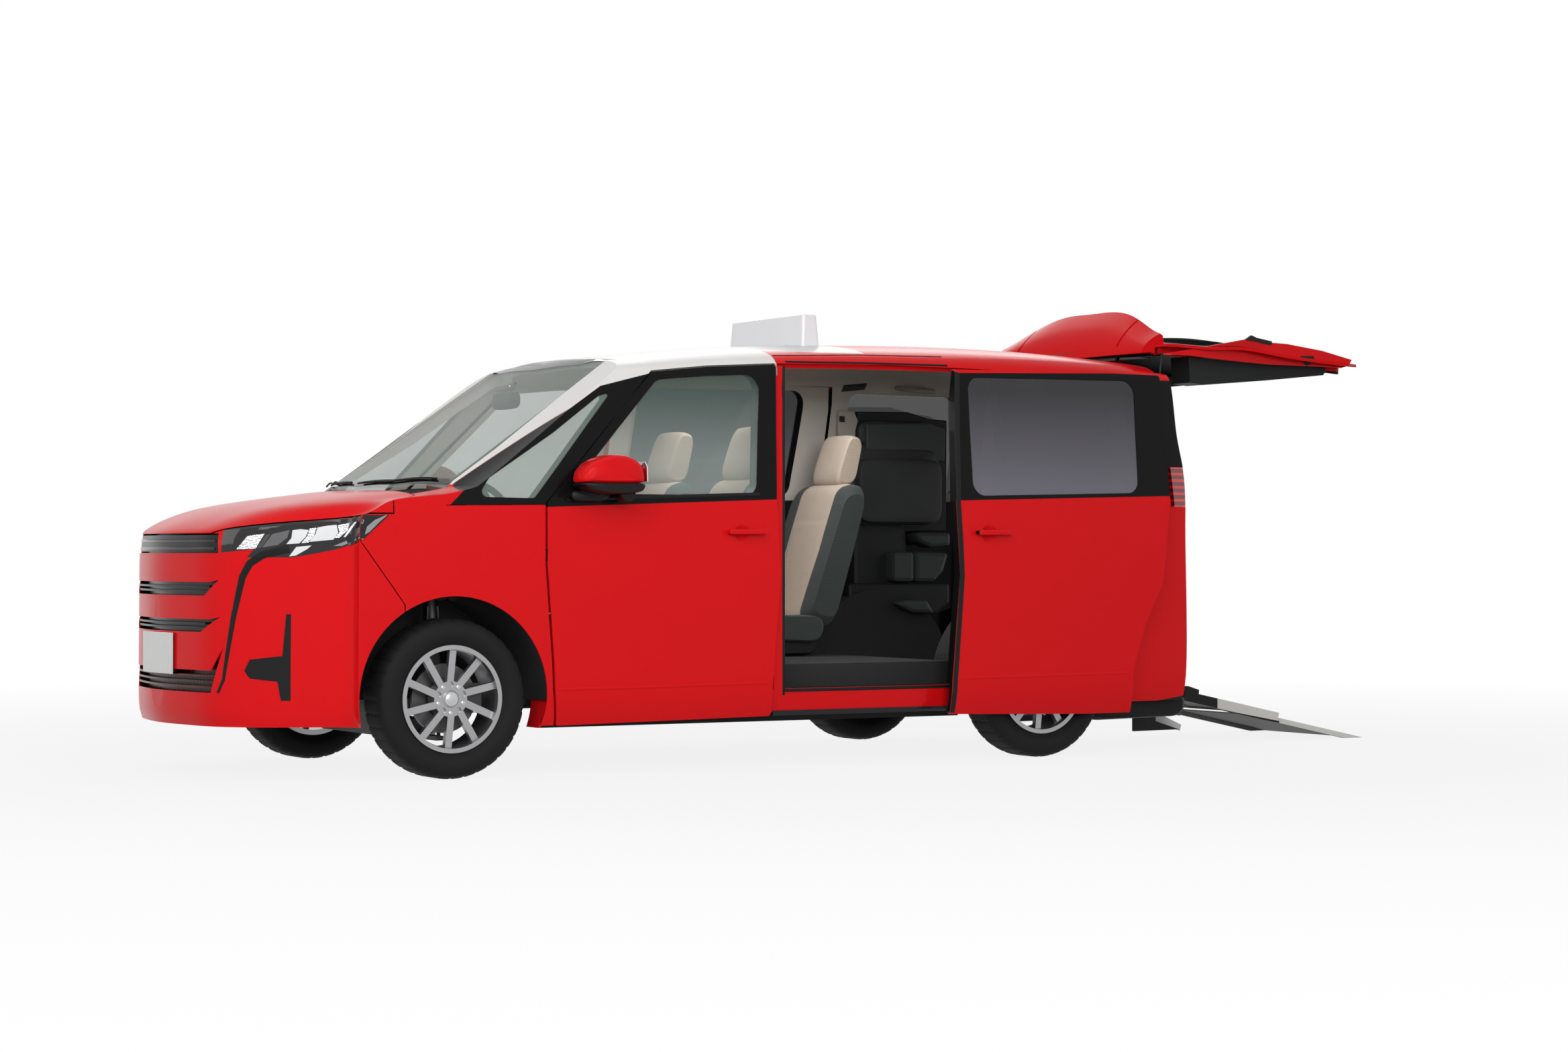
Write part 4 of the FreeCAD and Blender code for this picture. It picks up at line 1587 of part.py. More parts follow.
def check_and_export():
    """Move every piece so that the origin is under the middle, check it and write it."""
    doc.recompute()
    middle = (S.RampToeReach - S.FrontReach) / 2
    for name, piece in nodes.items():
        spot = piece.Placement
        shifted = Placement(spot.Base.add(Vector(0, -middle, 0)), spot.Rotation)
        if piece.ExpressionEngine:
            piece.setExpression("Placement.Base.y",
                                "Sizes.EngineFront - (Sizes.RampToeReach - Sizes.FrontReach) / 2")
        else:
            piece.Placement = shifted
    doc.recompute()
    faults = [item.Label for item in doc.Objects if "Invalid" in item.State or "Error" in item.State]
    for name, piece in nodes.items():
        if piece.Shape.isNull() or not piece.Shape.isValid() or not piece.Shape.Solids:
            faults.append(name)
    if faults:
        raise RuntimeError("faulty pieces: " + ", ".join(sorted(set(faults))))
    os.makedirs("parts", exist_ok=True)
    for name, piece in nodes.items():
        piece.Shape.exportStep(f"parts/{name}.step")


build()
check_and_export()
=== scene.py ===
"""Looks of the wheelchair taxi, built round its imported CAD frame. Lengths are in metres.

Places are given from the middle of the front axle: x to the car's left, y towards the back, z up.
A place on the photograph is a pixel of its 2337 by 1568 frame.
"""
import math

import bmesh
import bpy
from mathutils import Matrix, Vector
from mathutils.bvhtree import BVHTree
from mathutils.geometry import delaunay_2d_cdt


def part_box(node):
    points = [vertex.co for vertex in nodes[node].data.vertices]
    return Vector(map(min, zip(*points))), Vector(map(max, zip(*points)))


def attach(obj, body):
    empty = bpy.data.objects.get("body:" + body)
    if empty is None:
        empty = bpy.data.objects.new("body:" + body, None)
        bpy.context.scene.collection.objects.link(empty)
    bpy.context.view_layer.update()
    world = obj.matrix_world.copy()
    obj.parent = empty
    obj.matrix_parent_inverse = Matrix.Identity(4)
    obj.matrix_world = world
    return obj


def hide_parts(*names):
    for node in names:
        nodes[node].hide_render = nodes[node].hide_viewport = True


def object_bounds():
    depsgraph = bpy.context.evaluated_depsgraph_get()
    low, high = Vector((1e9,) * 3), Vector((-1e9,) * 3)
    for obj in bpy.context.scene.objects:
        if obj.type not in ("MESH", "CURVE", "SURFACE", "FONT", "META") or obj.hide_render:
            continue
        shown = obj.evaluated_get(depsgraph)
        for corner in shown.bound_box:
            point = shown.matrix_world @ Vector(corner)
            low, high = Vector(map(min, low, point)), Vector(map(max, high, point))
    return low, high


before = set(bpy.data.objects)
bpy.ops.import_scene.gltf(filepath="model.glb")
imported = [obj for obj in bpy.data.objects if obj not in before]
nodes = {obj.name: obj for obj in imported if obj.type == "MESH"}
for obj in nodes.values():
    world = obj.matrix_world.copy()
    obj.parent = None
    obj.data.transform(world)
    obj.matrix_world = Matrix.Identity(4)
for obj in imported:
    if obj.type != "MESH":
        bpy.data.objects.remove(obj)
cad_box = [list(corner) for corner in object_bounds()]
tyre_low, tyre_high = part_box("tyre_front_left")
AXLE_Y = (tyre_low[1] + tyre_high[1]) / 2

# Camera
FRAME_WIDTH = 2337
FRAME_HEIGHT = 1568
FOCAL = 4800
SENSOR = 36.0
YAW = math.radians(150.19)
PITCH = math.radians(0.44)

# Plain colours of the real materials, linear
RED = (0.72, 0.006, 0.009)
WHITE = (0.80, 0.79, 0.77)
BLACK = (0.004, 0.004, 0.0045)
DARK_TRIM = (0.016, 0.0165, 0.018)
BEIGE = (0.63, 0.52, 0.42)
PALE_TRIM = (0.60, 0.56, 0.50)
RUBBER = (0.005, 0.005, 0.005)
ALLOY = (0.36, 0.36, 0.37)

SIDES = (("left", 1), ("right", -1))

# Sloping borders between colours: a height, its rise along the car and the place of that height
BELT = (1.095, 0.0363, 0.411)
SLIDE_BELT = (1.135, 0.0253, 2.336)
SLIDE_TOP = (1.697, 0.0252, 2.394)
SCREEN_LINE = (1.194, 0.655, 0.080)
QUARTER_FRONT = (1.094, 0.96, -0.024)
QUARTER_TOP = (1.600, 0.25, 0.70)
GATE_EDGE = (1.822, -0.046, 3.78)
SKIRT_EDGE = (0.200, 0.13, 3.2)

# Level borders, by height, by place along the car or by distance from a middle
QUARTER_LOW = 1.094
QUARTER_END = 1.0
PILLAR_WHITE_LOW = 1.187
PILLAR_WHITE_TOP = 1.60
PILLAR_WHITE_END = 1.550
REAR_PANE_START = 2.65
REAR_PANE_LOW = 1.155
REAR_PANE_TOP = 1.70
SILL_START = 0.40
SILL_TOP = 0.232
CAP_END = 1.55
CAP_TONGUE_END = 2.03
CAP_TONGUE_LOW = 1.778
TRIM_SPLIT = 1.16
TRIM_START = 1.60
TRIM_TOP = 1.10
TRIM_HALF = 0.79
OPENING_END = 2.30
OPENING_TOP = 1.2
FLOOR_TOP = 0.315
MIDDLE_PILLAR = 1.5
DISC_FACE = 0.019
DISC_RADIUS = 0.150
GATE_PANE_END = 4.22
SLIDE_TRAVEL = 0.850
EDGE_SOFT = 0.0012
FACE_SOFT = 0.05


def place(x, y, z):
    """Point in the row frame."""
    return Vector((x, y + AXLE_Y, z))


EYE = place(12.697, -5.267, 0.917)
FORWARD = Vector((math.cos(PITCH) * math.cos(YAW), math.cos(PITCH) * math.sin(YAW), math.sin(PITCH)))
ACROSS = Vector((math.sin(YAW), -math.cos(YAW), 0.0))
UPWARD = ACROSS.cross(FORWARD)


def sight(across, down):
    """Direction in which the camera sees this pixel."""
    right = (across - FRAME_WIDTH / 2) / FOCAL
    below = (down - FRAME_HEIGHT / 2) / FOCAL
    return FORWARD + ACROSS * right - UPWARD * below


def on_plane(across, down, x):
    """Place where the pixel's line of sight meets an upright plane along the car."""
    ray = sight(across, down)
    return EYE + ray * ((x - EYE.x) / ray.x)


def enlarged(points, corner, zoom):
    """Pixels of points that were picked on an enlarged view of the photograph."""
    return [(corner[0] + across / zoom, corner[1] + down / zoom) for across, down in points]


def traced(points, corner, zoom, x):
    """Outline picked on an enlarged view, laid on an upright plane along the car."""
    return [on_plane(across, down, x) for across, down in enlarged(points, corner, zoom)]


def make_camera():
    """Camera that stands where the photograph's camera stood."""
    data = bpy.data.cameras.new("camera")
    data.sensor_width = SENSOR
    data.lens = FOCAL * SENSOR / FRAME_WIDTH
    data.clip_end = 100.0
    camera = bpy.data.objects.new("camera", data)
    camera.location = EYE
    camera.rotation_euler = FORWARD.to_track_quat("-Z", "Y").to_euler()
    bpy.context.collection.objects.link(camera)
    bpy.context.scene.camera = camera


def put(tree, socket, value):
    """Link a socket to an input, or set the input's own value."""
    if isinstance(value, bpy.types.NodeSocket):
        tree.links.new(value, socket)
    elif isinstance(value, tuple) and len(value) == 3 and len(socket.default_value) == 4:
        socket.default_value = (*value, 1.0)
    else:
        socket.default_value = value


def wired(tree, kind, inputs, **settings):
    """New shader node with these settings. Its inputs are given by name or number."""
    node = tree.nodes.new("ShaderNode" + kind)
    for name, value in settings.items():
        setattr(node, name, value)
    for name, value in inputs.items():
        put(tree, node.inputs[name], value)
    return node


class Graph:
    """Node graph of one material."""

    def __init__(self, name):
        self.material = bpy.data.materials.new(name)
        self.material.use_nodes = True
        self.tree = self.material.node_tree
        self.shader = self.tree.nodes["Principled BSDF"]
        coords = self.node("TexCoord", {})
        self.point = coords.outputs["Object"]
        self.x, along, self.z = self.split(self.point)
        self.y = self.minus(along, AXLE_Y)
        self.nx, self.ny, self.nz = self.split(coords.outputs["Normal"])

    def node(self, kind, inputs, **settings):
        return wired(self.tree, kind, inputs, **settings)

    def split(self, vector):
        return tuple(self.node("SeparateXYZ", {0: vector}).outputs)

    def join(self, x, y, z):
        return self.node("CombineXYZ", {0: x, 1: y, 2: z}).outputs[0]

    def math(self, operation, a, b=0.0, clamp=False):
        return self.node("Math", {0: a, 1: b}, operation=operation, use_clamp=clamp).outputs[0]

    def plus(self, a, b):
        return self.math("ADD", a, b)

    def minus(self, a, b):
        return self.math("SUBTRACT", a, b)

    def times(self, a, b):
        return self.math("MULTIPLY", a, b)

    def size(self, value):
        return self.math("ABSOLUTE", value)

    def radius(self, centre):
        """Distance from an axle, whose place along and up is given."""
        along = self.minus(self.y, centre[0])
        up = self.minus(self.z, centre[1])
        return self.math("SQRT", self.plus(self.times(up, up), self.times(along, along)))

    def line(self, border, along=None):
        """Height of a sloping border at this place along the car."""
        height, rise, begin = border
        along = self.y if along is None else along
        return self.plus(self.times(self.minus(along, begin), rise), height)

    def above(self, value, edge, soft=EDGE_SOFT):
        """1 where the value is over the edge, 0 where it is under."""
        over = self.minus(value, edge)
        return self.math("ADD", self.math("DIVIDE", over, 2 * soft), 0.5, clamp=True)

    def under(self, value, edge, soft=EDGE_SOFT):
        return self.minus(1.0, self.above(value, edge, soft))

    def folded(self, operation, masks):
        result = masks[0]
        for mask in masks[1:]:
            result = self.math(operation, result, mask)
        return result

    def every(self, *masks):
        return self.folded("MULTIPLY", masks)

    def either(self, *masks):
        return self.folded("MAXIMUM", masks)

    def zone(self, begin=None, end=None, low=None, high=None):
        """1 between these places along the car and these heights."""
        limits = ((self.above, self.y, begin), (self.under, self.y, end),
                  (self.above, self.z, low), (self.under, self.z, high))
        return self.every(*[side(value, edge) for side, value, edge in limits if edge is not None])

    def mix(self, factor, a, b):
        return self.node("Mix", {0: factor, 6: a, 7: b}, data_type="RGBA").outputs[2]

    def blend(self, factor, a, b):
        """Number between a and b."""
        return self.node("Mix", {0: factor, 2: a, 3: b}).outputs[0]

    def noise(self, scale, detail=2.0, vector=None):
        vector = self.point if vector is None else vector
        return self.node("TexNoise", {"Scale": scale, "Detail": detail, "Vector": vector}).outputs["Fac"]

    def cells(self, scale):
        return self.node("TexVoronoi", {"Scale": scale, "Vector": self.point}).outputs["Distance"]

    def wave(self, value, pitch):
        """Evenly spaced crests, from 0 to 1, one each pitch."""
        turn = self.times(value, 2 * math.pi / pitch)
        return self.plus(self.times(self.math("SINE", turn), 0.5), 0.5)

    def bump(self, height, distance, strength=1.0):
        node = self.node("Bump", {"Strength": strength, "Distance": distance, "Height": height})
        put(self.tree, self.shader.inputs["Normal"], node.outputs[0])

    def shade(self, colour, amount, scale=3.0):
        """The colour, slightly darker and lighter from place to place."""
        cloud = self.noise(scale, 3.0)
        dark = self.plus(1.0 - amount, self.times(cloud, 2 * amount))
        return self.node("VectorMath", {0: colour, "Scale": dark}, operation="SCALE").outputs[0]

    def finish(self, colour, roughness, **settings):
        settings.update(Base_Color=colour, Roughness=roughness)
        for name, value in settings.items():
            put(self.tree, self.shader.inputs[name.replace("_", " ")], value)
        return self.material


def layered(name, *layers, shine=0.07):
    """Red lacquer with parts in other colours. A layer lists masks with their colours and roughnesses."""
    graph = Graph(name)
    colour = RED
    roughness = 0.22
    for mask, tint, rough in [item for layer in layers for item in layer(graph)]:
        colour = graph.mix(mask, colour, tint)
        roughness = graph.blend(mask, roughness, rough)
    graph.bump(graph.noise(700.0, 1.0), 0.0002, 0.10)
    return graph.finish(graph.shade(colour, 0.03), roughness, Coat_Weight=shine, Coat_Roughness=0.03,
                        Specular_IOR_Level=shine)


def inward(graph, lean=0.35):
    """Faces that look towards the middle of the car."""
    side = graph.math("SIGN", graph.x)
    return graph.under(graph.times(graph.nx, side), -lean, FACE_SOFT)


def cabin_side(graph):
    """Trim inside the side walls: pale above the belt, dark below."""
    tint = graph.mix(graph.above(graph.z, TRIM_SPLIT), DARK_TRIM, PALE_TRIM)
    behind = graph.every(graph.under(graph.size(graph.x), TRIM_HALF), graph.zone(TRIM_START, high=TRIM_TOP))
    return [(graph.either(inward(graph), behind), tint, 0.6)]


def body_side_layers(graph):
    """Black round the panes and along the sill, and the white front pillar."""
    rear = graph.zone(REAR_PANE_START, low=REAR_PANE_LOW, high=REAR_PANE_TOP)
    screen_line = graph.line(SCREEN_LINE)
    low = graph.math("MAXIMUM", graph.math("MINIMUM", screen_line, PILLAR_WHITE_TOP), PILLAR_WHITE_LOW)
    pillar = graph.zone(end=PILLAR_WHITE_END, low=low)
    top = graph.math("MINIMUM", graph.line(QUARTER_FRONT), screen_line)
    top = graph.math("MINIMUM", top, graph.line(QUARTER_TOP))
    quarter = graph.zone(end=QUARTER_END, low=QUARTER_LOW, high=top)
    sill = graph.zone(SILL_START, high=SILL_TOP)
    edge = graph.every(graph.under(graph.ny, -0.5, FACE_SOFT), graph.zone(OPENING_END, high=OPENING_TOP))
    return [(rear, BLACK, 0.2), (pillar, WHITE, 0.28), (quarter, BLACK, 0.35), (sill, BLACK, 0.45),
            (edge, BLACK, 0.5)]


def roof_layers(graph):
    """White front part with a tongue that reaches back, and the pale ceiling."""
    tongue = graph.zone(end=CAP_TONGUE_END, low=CAP_TONGUE_LOW)
    white = graph.either(graph.under(graph.y, CAP_END), tongue)
    return [(white, WHITE, 0.28), (graph.under(graph.nz, -0.45, FACE_SOFT), PALE_TRIM, 0.9)]


def front_door_layers(graph):
    """Black window frame over the belt."""
    return [(graph.above(graph.z, graph.line(BELT)), BLACK, 0.35)]


def slide_layers(travel):
    """Black round the pane of a sliding door that stands this far from its open place."""
    def layers(graph):
        along = graph.plus(graph.y, travel)
        frame_zone = graph.zone(low=graph.line(SLIDE_BELT, along), high=graph.line(SLIDE_TOP, along))
        edge = graph.under(graph.ny, -0.6, FACE_SOFT)
        return [(frame_zone, BLACK, 0.3), (edge, BLACK, 0.5)]
    return layers


def gate_layers(graph):
    """Black lining of the tailgate and black round its pane."""
    trim = graph.either(graph.under(graph.nz, -0.2, FACE_SOFT),
                        graph.under(graph.z, graph.line(GATE_EDGE)))
    glazed = graph.every(graph.under(graph.y, GATE_PANE_END), graph.above(graph.nz, 0.3, FACE_SOFT))
    return [(trim, BLACK, 0.6), (glazed, BLACK, 0.4)]


def lid_layers(graph):
    """Dull red on the bonnet's underside."""
    return [(graph.under(graph.nz, -0.3, FACE_SOFT), (0.20, 0.006, 0.008), 0.5)]


def bumper_layers(graph):
    """Bare plastic on the front bumper's back."""
    return [(graph.above(graph.ny, 0.35, FACE_SOFT), DARK_TRIM, 0.6)]


def rear_bumper_layers(graph):
    """Black lower skirt, and bare plastic inside."""
    return [(graph.under(graph.z, graph.line(SKIRT_EDGE)), DARK_TRIM, 0.55),
            (graph.either(inward(graph), graph.under(graph.ny, -0.4, FACE_SOFT)), DARK_TRIM, 0.6)]


def plastic(name, colour=DARK_TRIM, roughness=0.5, grain=0.00015):
    """Moulded plastic or rubber with a fine grain."""
    graph = Graph(name)
    graph.bump(graph.cells(900.0), grain, 0.5)
    return graph.finish(graph.shade(colour, 0.08), roughness, Specular_IOR_Level=0.2)


def gloss(name, colour=BLACK, roughness=0.08):
    """Smooth shiny plastic or coating."""
    graph = Graph(name)
    graph.bump(graph.noise(500.0, 1.0), 0.0001, 0.1)
    return graph.finish(graph.shade(colour, 0.05), roughness, Coat_Weight=0.15, Coat_Roughness=0.02,
                        Specular_IOR_Level=0.3)


def metal(name, colour, roughness=0.35):
    """Bare or coated metal whose shine changes in fine streaks."""
    graph = Graph(name)
    stretched = graph.join(graph.x, graph.times(graph.y, 30.0), graph.times(graph.z, 30.0))
    streak = graph.noise(30.0, 4.0, stretched)
    rough = graph.plus(roughness - 0.06, graph.times(streak, 0.12))
    return graph.finish(graph.shade(colour, 0.06, 8.0), rough, Metallic=1.0)


def face_share(opacity):
    """Opacity of each of a pane's two faces that together give the pane this opacity."""
    return 1.0 - math.sqrt(1.0 - opacity)


def glass(name, tint, opacity, low=None, high=None, dark=None, shine=0.6):
    """Window glass. With low, high and dark it darkens from one height to the other: painted light, the
    lighter low glass a painted reflection of the bright surroundings and the darker top painted shade.
    """
    graph = Graph(name)
    colour = graph.shade(tint, 0.03, 1.5)
    if dark:
        # Painted reflection and shade: the colour goes from the lighter tint low down to the dark colour high
        # up.
        rise = graph.math("DIVIDE", graph.minus(graph.z, low), high - low, clamp=True)
        colour = graph.mix(rise, colour, dark)
    graph.bump(graph.noise(4.0, 1.0), 0.0004, 0.2)
    graph.material.surface_render_method = "BLENDED"
    return graph.finish(colour, 0.03, Alpha=face_share(opacity), Specular_IOR_Level=shine)


def weave(name, colour, other, half_width, middle_x, pitch=0.014):
    """Seat fabric: patterned in the middle, plain dark on the bolsters."""
    graph = Graph(name)
    crossing = graph.times(graph.wave(graph.plus(graph.x, graph.z), pitch),
                          graph.wave(graph.minus(graph.x, graph.z), pitch))
    thread = graph.times(graph.wave(graph.x, 0.0016), graph.wave(graph.z, 0.0016))
    pale = graph.mix(graph.times(crossing, 0.5), colour, tuple(c * 0.62 for c in colour))
    side = graph.above(graph.size(graph.minus(graph.x, middle_x)), half_width, 0.002)
    full = graph.mix(side, pale, other)
    graph.bump(graph.plus(thread, graph.times(crossing, 1.5)), 0.0006, 0.6)
    return graph.finish(graph.shade(full, 0.05, 9.0), 0.85, Sheen_Weight=0.15, Sheen_Roughness=0.4,
                        Specular_IOR_Level=0.2)


def tyre_rubber(name, centre):
    """Dull rubber with fine rings on the side wall."""
    graph = Graph(name)
    rings = graph.wave(graph.radius(centre), 0.006)
    graph.bump(graph.plus(graph.times(rings, 0.5), graph.noise(600.0, 2.0)), 0.0004, 0.5)
    return graph.finish(graph.shade((0.008, 0.008, 0.0085), 0.15, 12.0), 0.75, Specular_IOR_Level=0.2)


def wheel_finish(name, centre, side):
    """Alloy outside, dark cast iron with fine rings inside."""
    graph = Graph(name)
    radius = graph.radius(centre)
    out = graph.times(graph.minus(graph.x, centre[2]), side)
    inner = graph.every(graph.under(out, DISC_FACE), graph.under(radius, DISC_RADIUS))
    groove = graph.times(graph.wave(radius, 0.003), 0.3)
    colour = graph.mix(inner, ALLOY, (0.10, 0.10, 0.10))
    graph.bump(graph.times(groove, inner), 0.0004, 0.5)
    return graph.finish(graph.shade(colour, 0.05, 20.0), graph.blend(inner, 0.28, 0.45), Metallic=0.9)


def lamp_red(name):
    """Red lens with brighter bars and fine ribs."""
    graph = Graph(name)
    bars = graph.above(graph.wave(graph.z, 0.030), 0.62, 0.08)
    colour = graph.mix(bars, (0.16, 0.004, 0.006), (0.75, 0.010, 0.012))
    graph.bump(graph.wave(graph.z, 0.006), 0.0005, 0.4)
    return graph.finish(colour, 0.08, Coat_Weight=1.0, Coat_Roughness=0.02)


def mesh_pattern(name, colour):
    """Dark insect mesh of the lower intake over a red back."""
    graph = Graph(name)
    bars = graph.either(graph.above(graph.wave(graph.z, 0.016), 0.55, 0.1),
                        graph.above(graph.wave(graph.x, 0.024), 0.75, 0.1))
    low = graph.every(graph.under(graph.z, 0.47), graph.under(graph.size(graph.x), 0.50))
    shade = graph.mix(graph.times(low, bars), colour, (0.10, 0.004, 0.005))
    graph.bump(graph.times(bars, low), 0.002, 0.7)
    return graph.finish(shade, 0.25, Specular_IOR_Level=0.25)


def reflector(name):
    """Bright faceted lamp bowl."""
    graph = Graph(name)
    facets = graph.cells(130.0)
    graph.bump(facets, 0.003, 0.9)
    colour = graph.mix(facets, (0.30, 0.31, 0.32), (0.85, 0.86, 0.88))
    return graph.finish(colour, 0.16, Metallic=1.0, Coat_Weight=1.0)


def satin(name, colour, roughness=0.2, metallic=0.6):
    """Coated metal or plated plastic."""
    graph = Graph(name)
    graph.bump(graph.noise(60.0, 1.0), 0.0004, 0.2)
    return graph.finish(graph.shade(colour, 0.06, 30.0), roughness, Metallic=metallic, Coat_Weight=1.0)


def floor_finish(name):
    """Grey carpet on the floor's upper faces, black underneath."""
    graph = Graph(name)
    carpet = graph.every(graph.above(graph.z, FLOOR_TOP), graph.above(graph.nz, 0.3, FACE_SOFT))
    colour = graph.mix(carpet, (0.012, 0.012, 0.012), (0.035, 0.034, 0.034))
    graph.bump(graph.noise(900.0, 3.0), 0.001, 0.6)
    return graph.finish(graph.shade(colour, 0.15, 30.0), 0.85)


def dress(material, *names):
    """Give CAD nodes their finish."""
    for name in names:
        mesh = nodes[name].data
        mesh.materials.clear()
        mesh.materials.append(material)


def fixed_glass():
    """Small front panes are clear and greenish, rear panes nearly black."""
    graph = Graph("glass_fixed")
    back = graph.above(graph.y, MIDDLE_PILLAR)
    graph.bump(graph.noise(4.0, 1.0), 0.0004, 0.2)
    graph.material.surface_render_method = "BLENDED"
    return graph.finish(graph.mix(back, (0.26, 0.34, 0.30), (0.012, 0.012, 0.02)), 0.03,
                        Alpha=graph.blend(back, face_share(0.58), face_share(0.95)), Specular_IOR_Level=0.6)


def ramp_paint(name, reach):
    """Grey deck between pale sides, black up to this place along the car and underneath."""
    graph = Graph(name)
    arm = graph.either(graph.under(graph.y, reach), graph.under(graph.nz, -0.5, FACE_SOFT))
    graph.bump(graph.cells(400.0), 0.0003, 0.4)
    colour = graph.mix(graph.above(graph.nz, 0.5, FACE_SOFT), (0.74, 0.73, 0.70), (0.40, 0.40, 0.40))
    return graph.finish(graph.mix(arm, colour, BLACK), 0.5, Specular_IOR_Level=0.2)


def milky():
    """Pale translucent plastic of the roof sign."""
    graph = Graph("sign_milky")
    graph.bump(graph.noise(250.0, 1.0), 0.0002, 0.1)
    return graph.finish(graph.shade((0.83, 0.83, 0.86), 0.02), 0.25, Coat_Weight=0.5, Subsurface_Weight=0.2)


def dress_nodes():
    """Finishes of the CAD nodes that stay in view, except for the wheels."""
    dress(layered("lacquer_red"), "front_fenders")
    dress(layered("lacquer_dome", shine=0.02), "spoiler")
    dress(layered("lacquer_bonnet", lid_layers), "bonnet")
    dress(layered("lacquer_bumper", bumper_layers), "front_bumper")
    dress(layered("lacquer_rear_bumper", rear_bumper_layers), "rear_bumper")
    dress(layered("lacquer_side", body_side_layers, cabin_side), "body_side_left", "body_side_right")
    dress(layered("lacquer_roof", roof_layers, shine=0.03), "roof")
    dress(layered("lacquer_front_door", front_door_layers, cabin_side), "front_door_left", "front_door_right")
    dress(layered("lacquer_slide_open", slide_layers(0.0), cabin_side), "sliding_door_left")
    dress(layered("lacquer_slide_shut", slide_layers(SLIDE_TRAVEL), cabin_side), "sliding_door_right")
    dress(layered("lacquer_gate", gate_layers, shine=0.03), "tailgate")
    dress(glass("glass_green", (0.36, 0.46, 0.41), 0.45), "windscreen")
    # Front door panes: painted reflection low down and painted shade towards the top.
    dress(glass("glass_door_painted_reflection", (0.34, 0.42, 0.39), 0.50, 1.30, 1.66, (0.035, 0.10, 0.085)),
          "front_door_glass_left", "front_door_glass_right")
    # Sliding door panes: tinted glass with a painted reflection of the bright surroundings low down, darker
    # towards the top.
    dress(glass("glass_privacy_painted_reflection", (0.16, 0.15, 0.19), 0.96, 1.17, 1.62, (0.012, 0.012, 0.018)),
          "sliding_door_glass")
    dress(glass("glass_gate", (0.012, 0.016, 0.016), 0.95, shine=0.0), "tailgate_glass")
    dress(fixed_glass(), "fixed_side_glass")
    dress(gloss("lamp_housing", (0.016, 0.016, 0.017), 0.05), "headlamps")
    dress(lamp_red("tail_lamp_red"), "tail_lamps")
    dress(mesh_pattern("grille_black", BLACK), "grille")
    dress(plastic("moulded_black"), "cowl", "front_wheel_boxes", "slide_gear")
    dress(plastic("dash_grain", (0.045, 0.044, 0.043), 0.6), "dashboard")
    dress(plastic("rim_leather", (0.03, 0.03, 0.03), 0.45, 0.0004), "steering_wheel")
    dress(floor_finish("floor_carpet"), "underbody")
    dress(metal("chassis_steel", (0.06, 0.06, 0.062), 0.5), "front_subframe", "rear_axle", "exhaust",
          "knuckle_left", "knuckle_right")
    dress(metal("spring_steel", (0.04, 0.04, 0.045), 0.4), "rear_springs")
    dress(metal("engine_cast", (0.22, 0.22, 0.22), 0.55), "engine")
    dress(plastic("tank_plastic", (0.02, 0.02, 0.02), 0.6), "fuel_tank")
    dress(gloss("stay_black", (0.01, 0.01, 0.01), 0.2), "stay_tubes")
    dress(plastic("stay_rod_black", (0.02, 0.02, 0.021), 0.35), "stay_rods")
    dress(ramp_paint("ramp_toe_paint", 0.0), "ramp_toe")
    dress(ramp_paint("ramp_main_paint", 4.16), "ramp_main")
    dress(milky(), "roof_sign")


class Carrier:
    """Surfaces of CAD nodes that pieces are laid on."""

    def __init__(self, *names):
        points = []
        faces = []
        for name in names:
            start = len(points)
            mesh = nodes[name].data
            points += [vertex.co.copy() for vertex in mesh.vertices]
            faces += [[start + index for index in face.vertices] for face in mesh.polygons]
        self.tree = BVHTree.FromPolygons(points, faces)

    def hit(self, start, direction):
        spot, normal, _, _ = self.tree.ray_cast(start, direction)
        if spot is None:
            return None
        return spot, (normal if normal.dot(direction) < 0 else -normal)

    def pixel(self, across, down):
        return self.hit(EYE, sight(across, down).normalized())

    def left(self, y, z):
        return self.hit(place(3.0, y, z), Vector((-1, 0, 0)))

    def front(self, x, z):
        return self.hit(place(x, -3.0, z), Vector((0, 1, 0)))

    def top(self, x, y):
        return self.hit(place(x, y, 3.0), Vector((0, 0, -1)))


def link(name, data, material, body, slot):
    """Put a mesh or a curve in the scene as a piece of this body."""
    data.materials.append(material)
    piece = bpy.data.objects.new(name, data)
    bpy.context.collection.objects.link(piece)
    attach(piece, body)
    return piece


def add_mesh(name, points, faces, material, body="body", slot="black_plastic", smooth=True):
    """Piece from points and faces, with its faces turned outwards."""
    mesh = bpy.data.meshes.new(name)
    mesh.from_pydata(points, [], faces)
    mesh.validate()
    work = bmesh.new()
    work.from_mesh(mesh)
    bmesh.ops.recalc_face_normals(work, faces=work.faces)
    work.to_mesh(mesh)
    work.free()
    if smooth:
        mesh.shade_smooth()
        mesh.set_sharp_from_angle(angle=math.radians(38))
    return link(name, mesh, material, body, slot)


def add_pair(name, points, faces, material, body, slot, mirrored=True):
    """The piece with its mirror image, each on its own side's body, or the piece alone."""
    if not mirrored:
        add_mesh(name, points, faces, material, body, slot)
        return
    for label, sign in SIDES:
        add_mesh(f"{name}_{label}", [Vector((sign * x, y, z)) for x, y, z in points], faces, material,
                 body.replace("left", label), slot)


def bevelled(piece, width, segments):
    """Round the piece's edges by a modifier."""
    bevel = piece.modifiers.new("bevel", "BEVEL")
    bevel.width = width
    bevel.segments = segments


def skin(rows, size, closed=False, capped=True):
    """Faces over rows of equal loops. The last row joins the first, or both have end faces."""
    faces = []
    for row in range(rows if closed else rows - 1):
        start = row * size
        following = (row + 1) % rows * size
        for corner in range(size):
            nearby = (corner + 1) % size
            faces.append((start + corner, start + nearby, following + nearby, following + corner))
    if capped and not closed:
        faces.append(tuple(range(size)))
        faces.append(tuple(range((rows - 1) * size, rows * size)))
    return faces


